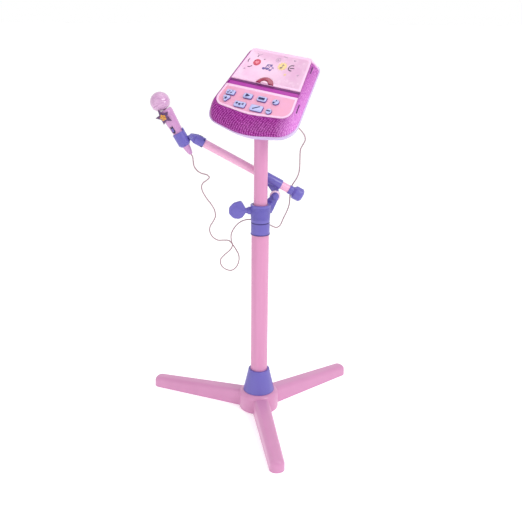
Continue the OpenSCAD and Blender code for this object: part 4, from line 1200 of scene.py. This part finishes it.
marks = [
    joined([(note(2.6), shift(-1.8, 0, 0)), (note(2.6), shift(2, 0.4, 0))]),
    flat_shape(rounded([(-2.6, 2.4), (-2.6, -2.4), (3.4, 0)], [0.5] * 3, 3)),
    joined([(flat_shape(circle(x, -0.3, 1.7, 16)), HERE) for x in (-2.4, 0, 2.4)]),
    note(3.4, -12),
    flat_shape(star_outline(2.4, 1.1)),
    joined([(flat_shape(star_outline(r, r * 0.5)), shift(x, y, 0))
            for x, y, r in ((-3.6, 0.4, 1.9), (0.2, -0.5, 2.2), (4, 0.4, 1.9))]),
    flat_shape(rounded([(-4.6, -1.8), (-3.4, -2.6), (4.4, 2), (3.2, 2.8)], [0.4] * 4, 3)),
    flat_shape(rounded([(-2.6, 0.8), (-2.6, -0.8), (2.6, -0.8), (2.6, 0.8)], [0.4] * 4, 3)),
]
for i, (u, v) in enumerate(BUTTON_AT):
    place = head @ shift(u, v, 0)
    node, key = f"button_{i + 1}", f"key_{i + 1}"
    cap_levels = [(button_outline(i, g), w) for g, w in (
        (-1.7, BUTTON_UP + 0.3), (-0.7, BUTTON_UP + 0.15), (-0.15, BUTTON_UP - 0.45),
        (0, BUTTON_UP - 1.3), (0, 0.9))]
    cap_bm = skinned(cap_levels)
    cap_piece = placed(cap_bm, f"key_cap_{i + 1}", place, cap_paint, 50)
    fit(cap_piece, key, "lavender", node)
    skirt = skinned([(button_outline(i, g), w) for g, w in ((0.25, 1.3), (0.45, 0.2), (0.45, -3))])
    skirt_piece = placed(skirt, f"key_skirt_{i + 1}", place, skirt_paint, 50)
    fit(skirt_piece, key, "lavender")
    shrink = Matrix.Diagonal((MARK_SCALE, MARK_SCALE, 1, 1))
    mark_place = place @ shift(0, 0, BUTTON_UP + 0.12) @ shrink
    mark = placed(marks[i], f"key_mark_{i + 1}", mark_place, mark_paint)
    fit(mark, key, "lavender")


# The picture is printed in bright inks: notes, stars and hearts scattered over the panel.
def ink(name, base):
    paint = Paint(name, {"Coat Weight": 0.6, "Coat Roughness": 0.08})
    patch = paint.noise(120.0, 3.0)
    paint.coat({
        "Base Color": paint.mix(patch * 0.4, base, tuple(c * 0.7 for c in base)),
        "Roughness": patch * 0.1 + 0.25,
    })
    return paint


red_ink, rose_ink = ink("red_ink", colour(206, 62, 92)), ink("rose_ink", colour(238, 128, 152))
plum_ink, gold_ink = ink("plum_ink", colour(92, 70, 150)), ink("gold_ink", colour(238, 206, 140))
dark_ink, grey_ink = ink("dark_ink", colour(60, 24, 66)), ink("grey_ink", colour(186, 150, 180))


def heart_outline(size):
    return [(size * 0.0625 * 16 * math.sin(t) ** 3,
             size * 0.0625 * (13 * math.cos(t) - 5 * math.cos(2 * t)
                              - 2 * math.cos(3 * t) - math.cos(4 * t)))
            for t in (2 * math.pi * k / 40 for k in range(40))]


def arc_outline(r, width, begin, sweep, steps=14):
    outside = circle(0, 0, r, steps, begin, sweep)
    return outside + circle(0, 0, r - width, steps, begin, sweep)[::-1]


PRINT_W = -0.42
prints = [
    ("print_disc", red_ink, flat_shape(circle(0, 0, 8, 40)), (-41, 48), 0),
    ("print_disc_heart", rose_ink, flat_shape(heart_outline(4.4), 0.4), (-41, 48), 0),
    ("print_star_left", dark_ink, joined([
        (flat_shape(arc_outline(7.5, 1.3, 20 + 120 * k, 80)),
         shift(5 * math.cos(2.1 * k), 5 * math.sin(2.1 * k), 0)) for k in range(3)]), (-52, 45), 0),
    ("print_tick_a", dark_ink,
     flat_shape(rounded([(-1.2, -2.6), (1.6, -2), (1.2, 3)], [0.4] * 3, 3)), (-46, 64), -8),
    ("print_tick_b", dark_ink,
     flat_shape(rounded([(-1, -2.2), (1.5, -1.6), (1, 2.4)], [0.4] * 3, 3)), (-29, 59), -50),
    ("print_ribbon", grey_ink, flat_shape(arc_outline(6, 0.9, 200, 150)), (-44, 72), 0),
    ("print_notes_a", plum_ink, joined([
        (note(9), shift(-5, 0, 0)), (note(9), shift(2.5, 1.4, 0)), (note(7), shift(9, -1, 0))]),
     (-12.5, 41), -6),
    ("print_beam", plum_ink, flat_shape([(-4, 5.2), (6, 7.2), (6, 9), (-4, 7)]), (-12.5, 41), -6),
    ("print_sun", gold_ink, flat_shape(star_outline(11, 7.6, 11)), (15, 50), 0),
    ("print_sun_note", plum_ink, note(7), (15, 50), 10),
    ("print_crescent", dark_ink, flat_shape(arc_outline(7.6, 2.0, 70, 220)), (35.5, 50), 0),
    ("print_crescent_bar", dark_ink,
     flat_shape(rounded([(-5, -0.9), (4, -0.9), (4, 0.9), (-5, 0.9)], [0.4] * 4, 3)), (36.5, 50), 6),
    ("print_ring", grey_ink, joined([
        (flat_shape(arc_outline(5.2, 0.8, 0, 359)), HERE),
        (flat_shape(star_outline(3, 1.3)), HERE)]),
     (0, 63), 0),
    ("print_dash", grey_ink,
     flat_shape(rounded([(-4.5, -0.8), (4.5, -0.8), (4.5, 0.8), (-4.5, 0.8)], [0.5] * 4, 3)),
     (12, 73), -4),
    ("print_star_small", gold_ink, flat_shape(star_outline(3.4, 1.5)), (29, 32), 12),
    ("print_heart_small", grey_ink, flat_shape(heart_outline(2.6)), (34, 68), -15),
    ("print_star_far", grey_ink, flat_shape(star_outline(2.6, 1.1)), (-60, 28), 0),
    ("print_heart_far", grey_ink, flat_shape(heart_outline(2.4)), (55, 36), 10),
]
for name, paint, bm, (u, v), lean in prints:
    place = head @ shift(u, v, PRINT_W) @ spin(lean, "Z")
    print_piece = placed(bm, name, place, paint)
    fit(print_piece, "console", "panel_pale")


# Every CAD node that stays visible, or is seen only from below or when taken apart, gets the
# finish of its real piece.
board = Paint("circuit_board", {"Coat Weight": 0.3})
tracks = board.add("TexVoronoi", {"feature": "DISTANCE_TO_EDGE"}, {
    "Vector": board.place, "Scale": 320.0})
board.coat({
    "Base Color": board.mix(tracks < 0.06, colour(26, 96, 60), colour(70, 140, 90)),
    "Roughness": board.noise(80.0) * 0.2 + 0.35,
})
black = moulded("black_plastic", colour(44, 44, 48), colour(34, 34, 38), 0.5, 0.05)
nylon = moulded("natural_nylon", colour(236, 232, 238), colour(226, 220, 230), 0.45, 0.05)
jacket = Paint("battery_jacket", {"Metallic": 0.5, "Coat Weight": 0.5})
jacket.coat({
    "Base Color": jacket.mix(jacket.noise(60.0), colour(70, 72, 84), colour(54, 54, 66)),
    "Roughness": jacket.noise(200.0) * 0.2 + 0.25,
})
finish_of_slot = {
    "pink_plastic": pink_plastic, "pink_tube": tube_pink, "purple_plastic": purple_plastic,
    "panel_pale": pale_plastic, "panel_pink": keys_ground, "fuchsia": channel, "lilac": lilac,
    "lavender": cap_paint, "dome_red": lens_red, "badge": foil, "amber": amber,
    "cord": cord_paint, "steel": steel, "nylon": nylon, "board": board,
    "black_plastic": black, "cell": jacket,
}
for part in frame["record"]["subparts"]:
    node = frame["nodes"][part["node"]]
    node.data.materials.clear()
    node.data.materials.append(finish_of_slot[part["material_slot"]].material)


# The stand is shown on a plain pale floor in soft studio light.
FLOOR_HALF = 40
ground = bmesh.new()
bmesh.ops.create_grid(ground, x_segments=1, y_segments=1, size=FLOOR_HALF)
floor_paint = Paint("studio_floor", {
    "Roughness": 0.9, "Emission Color": (1, 1, 1), "Emission Strength": 0.36})
clouds = floor_paint.noise(1.5)
floor_paint.coat({"Base Color": floor_paint.mix(clouds, (0.93, 0.93, 0.93), (0.9, 0.9, 0.9))})
floor = placed(ground, "floor", HERE, floor_paint)

# The room is white along its foot, and higher up it is dimmer in front and to the left.
world = bpy.data.worlds.new("studio")
world.use_nodes = True
room = world.node_tree
facing = room.nodes.new("ShaderNodeTexCoord")
toward = room.nodes.new("ShaderNodeVectorMath")
toward.operation = "DOT_PRODUCT"
toward.inputs[1].default_value = (0.35, 0.94, 0)
level = room.nodes.new("ShaderNodeMapRange")
for name, value in (("From Min", -0.6), ("From Max", 0.5), ("To Min", 0.3), ("To Max", 1.0)):
    level.inputs[name].default_value = value
room.links.new(facing.outputs["Generated"], toward.inputs[0])
room.links.new(toward.outputs["Value"], level.inputs["Value"])
height = room.nodes.new("ShaderNodeSeparateXYZ")
foot = room.nodes.new("ShaderNodeMapRange")
for name, value in (("From Min", 0.32), ("From Max", 0.42), ("To Min", 1.0), ("To Max", 0.0)):
    foot.inputs[name].default_value = value
brighter = room.nodes.new("ShaderNodeMath")
brighter.operation = "MAXIMUM"
room.links.new(facing.outputs["Generated"], height.inputs[0])
room.links.new(height.outputs["Z"], foot.inputs["Value"])
room.links.new(level.outputs["Result"], brighter.inputs[0])
room.links.new(foot.outputs["Result"], brighter.inputs[1])
room.links.new(brighter.outputs["Value"], room.nodes["Background"].inputs["Strength"])
room.nodes["Background"].inputs["Color"].default_value = (1, 1, 1, 1)
bpy.context.scene.world = world


def softbox(name, at, aim, size, power):
    light = bpy.data.lights.new(name, "AREA")
    light.shape = "RECTANGLE"
    light.size, light.size_y = size
    light.energy = power
    lamp = bpy.data.objects.new(name, light)
    bpy.context.scene.collection.objects.link(lamp)
    lamp.location = at
    lamp.rotation_euler = (Vector(aim) - Vector(at)).to_track_quat("-Z", "Y").to_euler()


softbox("key_light", (1.3, -1.5, 1.9), (0, 0, 0.45), (0.9, 0.9), 23)
softbox("fill_light", (-1.6, -1.2, 1.2), (0, 0, 0.45), (1.2, 1.6), 7)
softbox("top_light", (0.1, -0.2, 2.4), (0, 0, 0.3), (1.6, 1.6), 9)
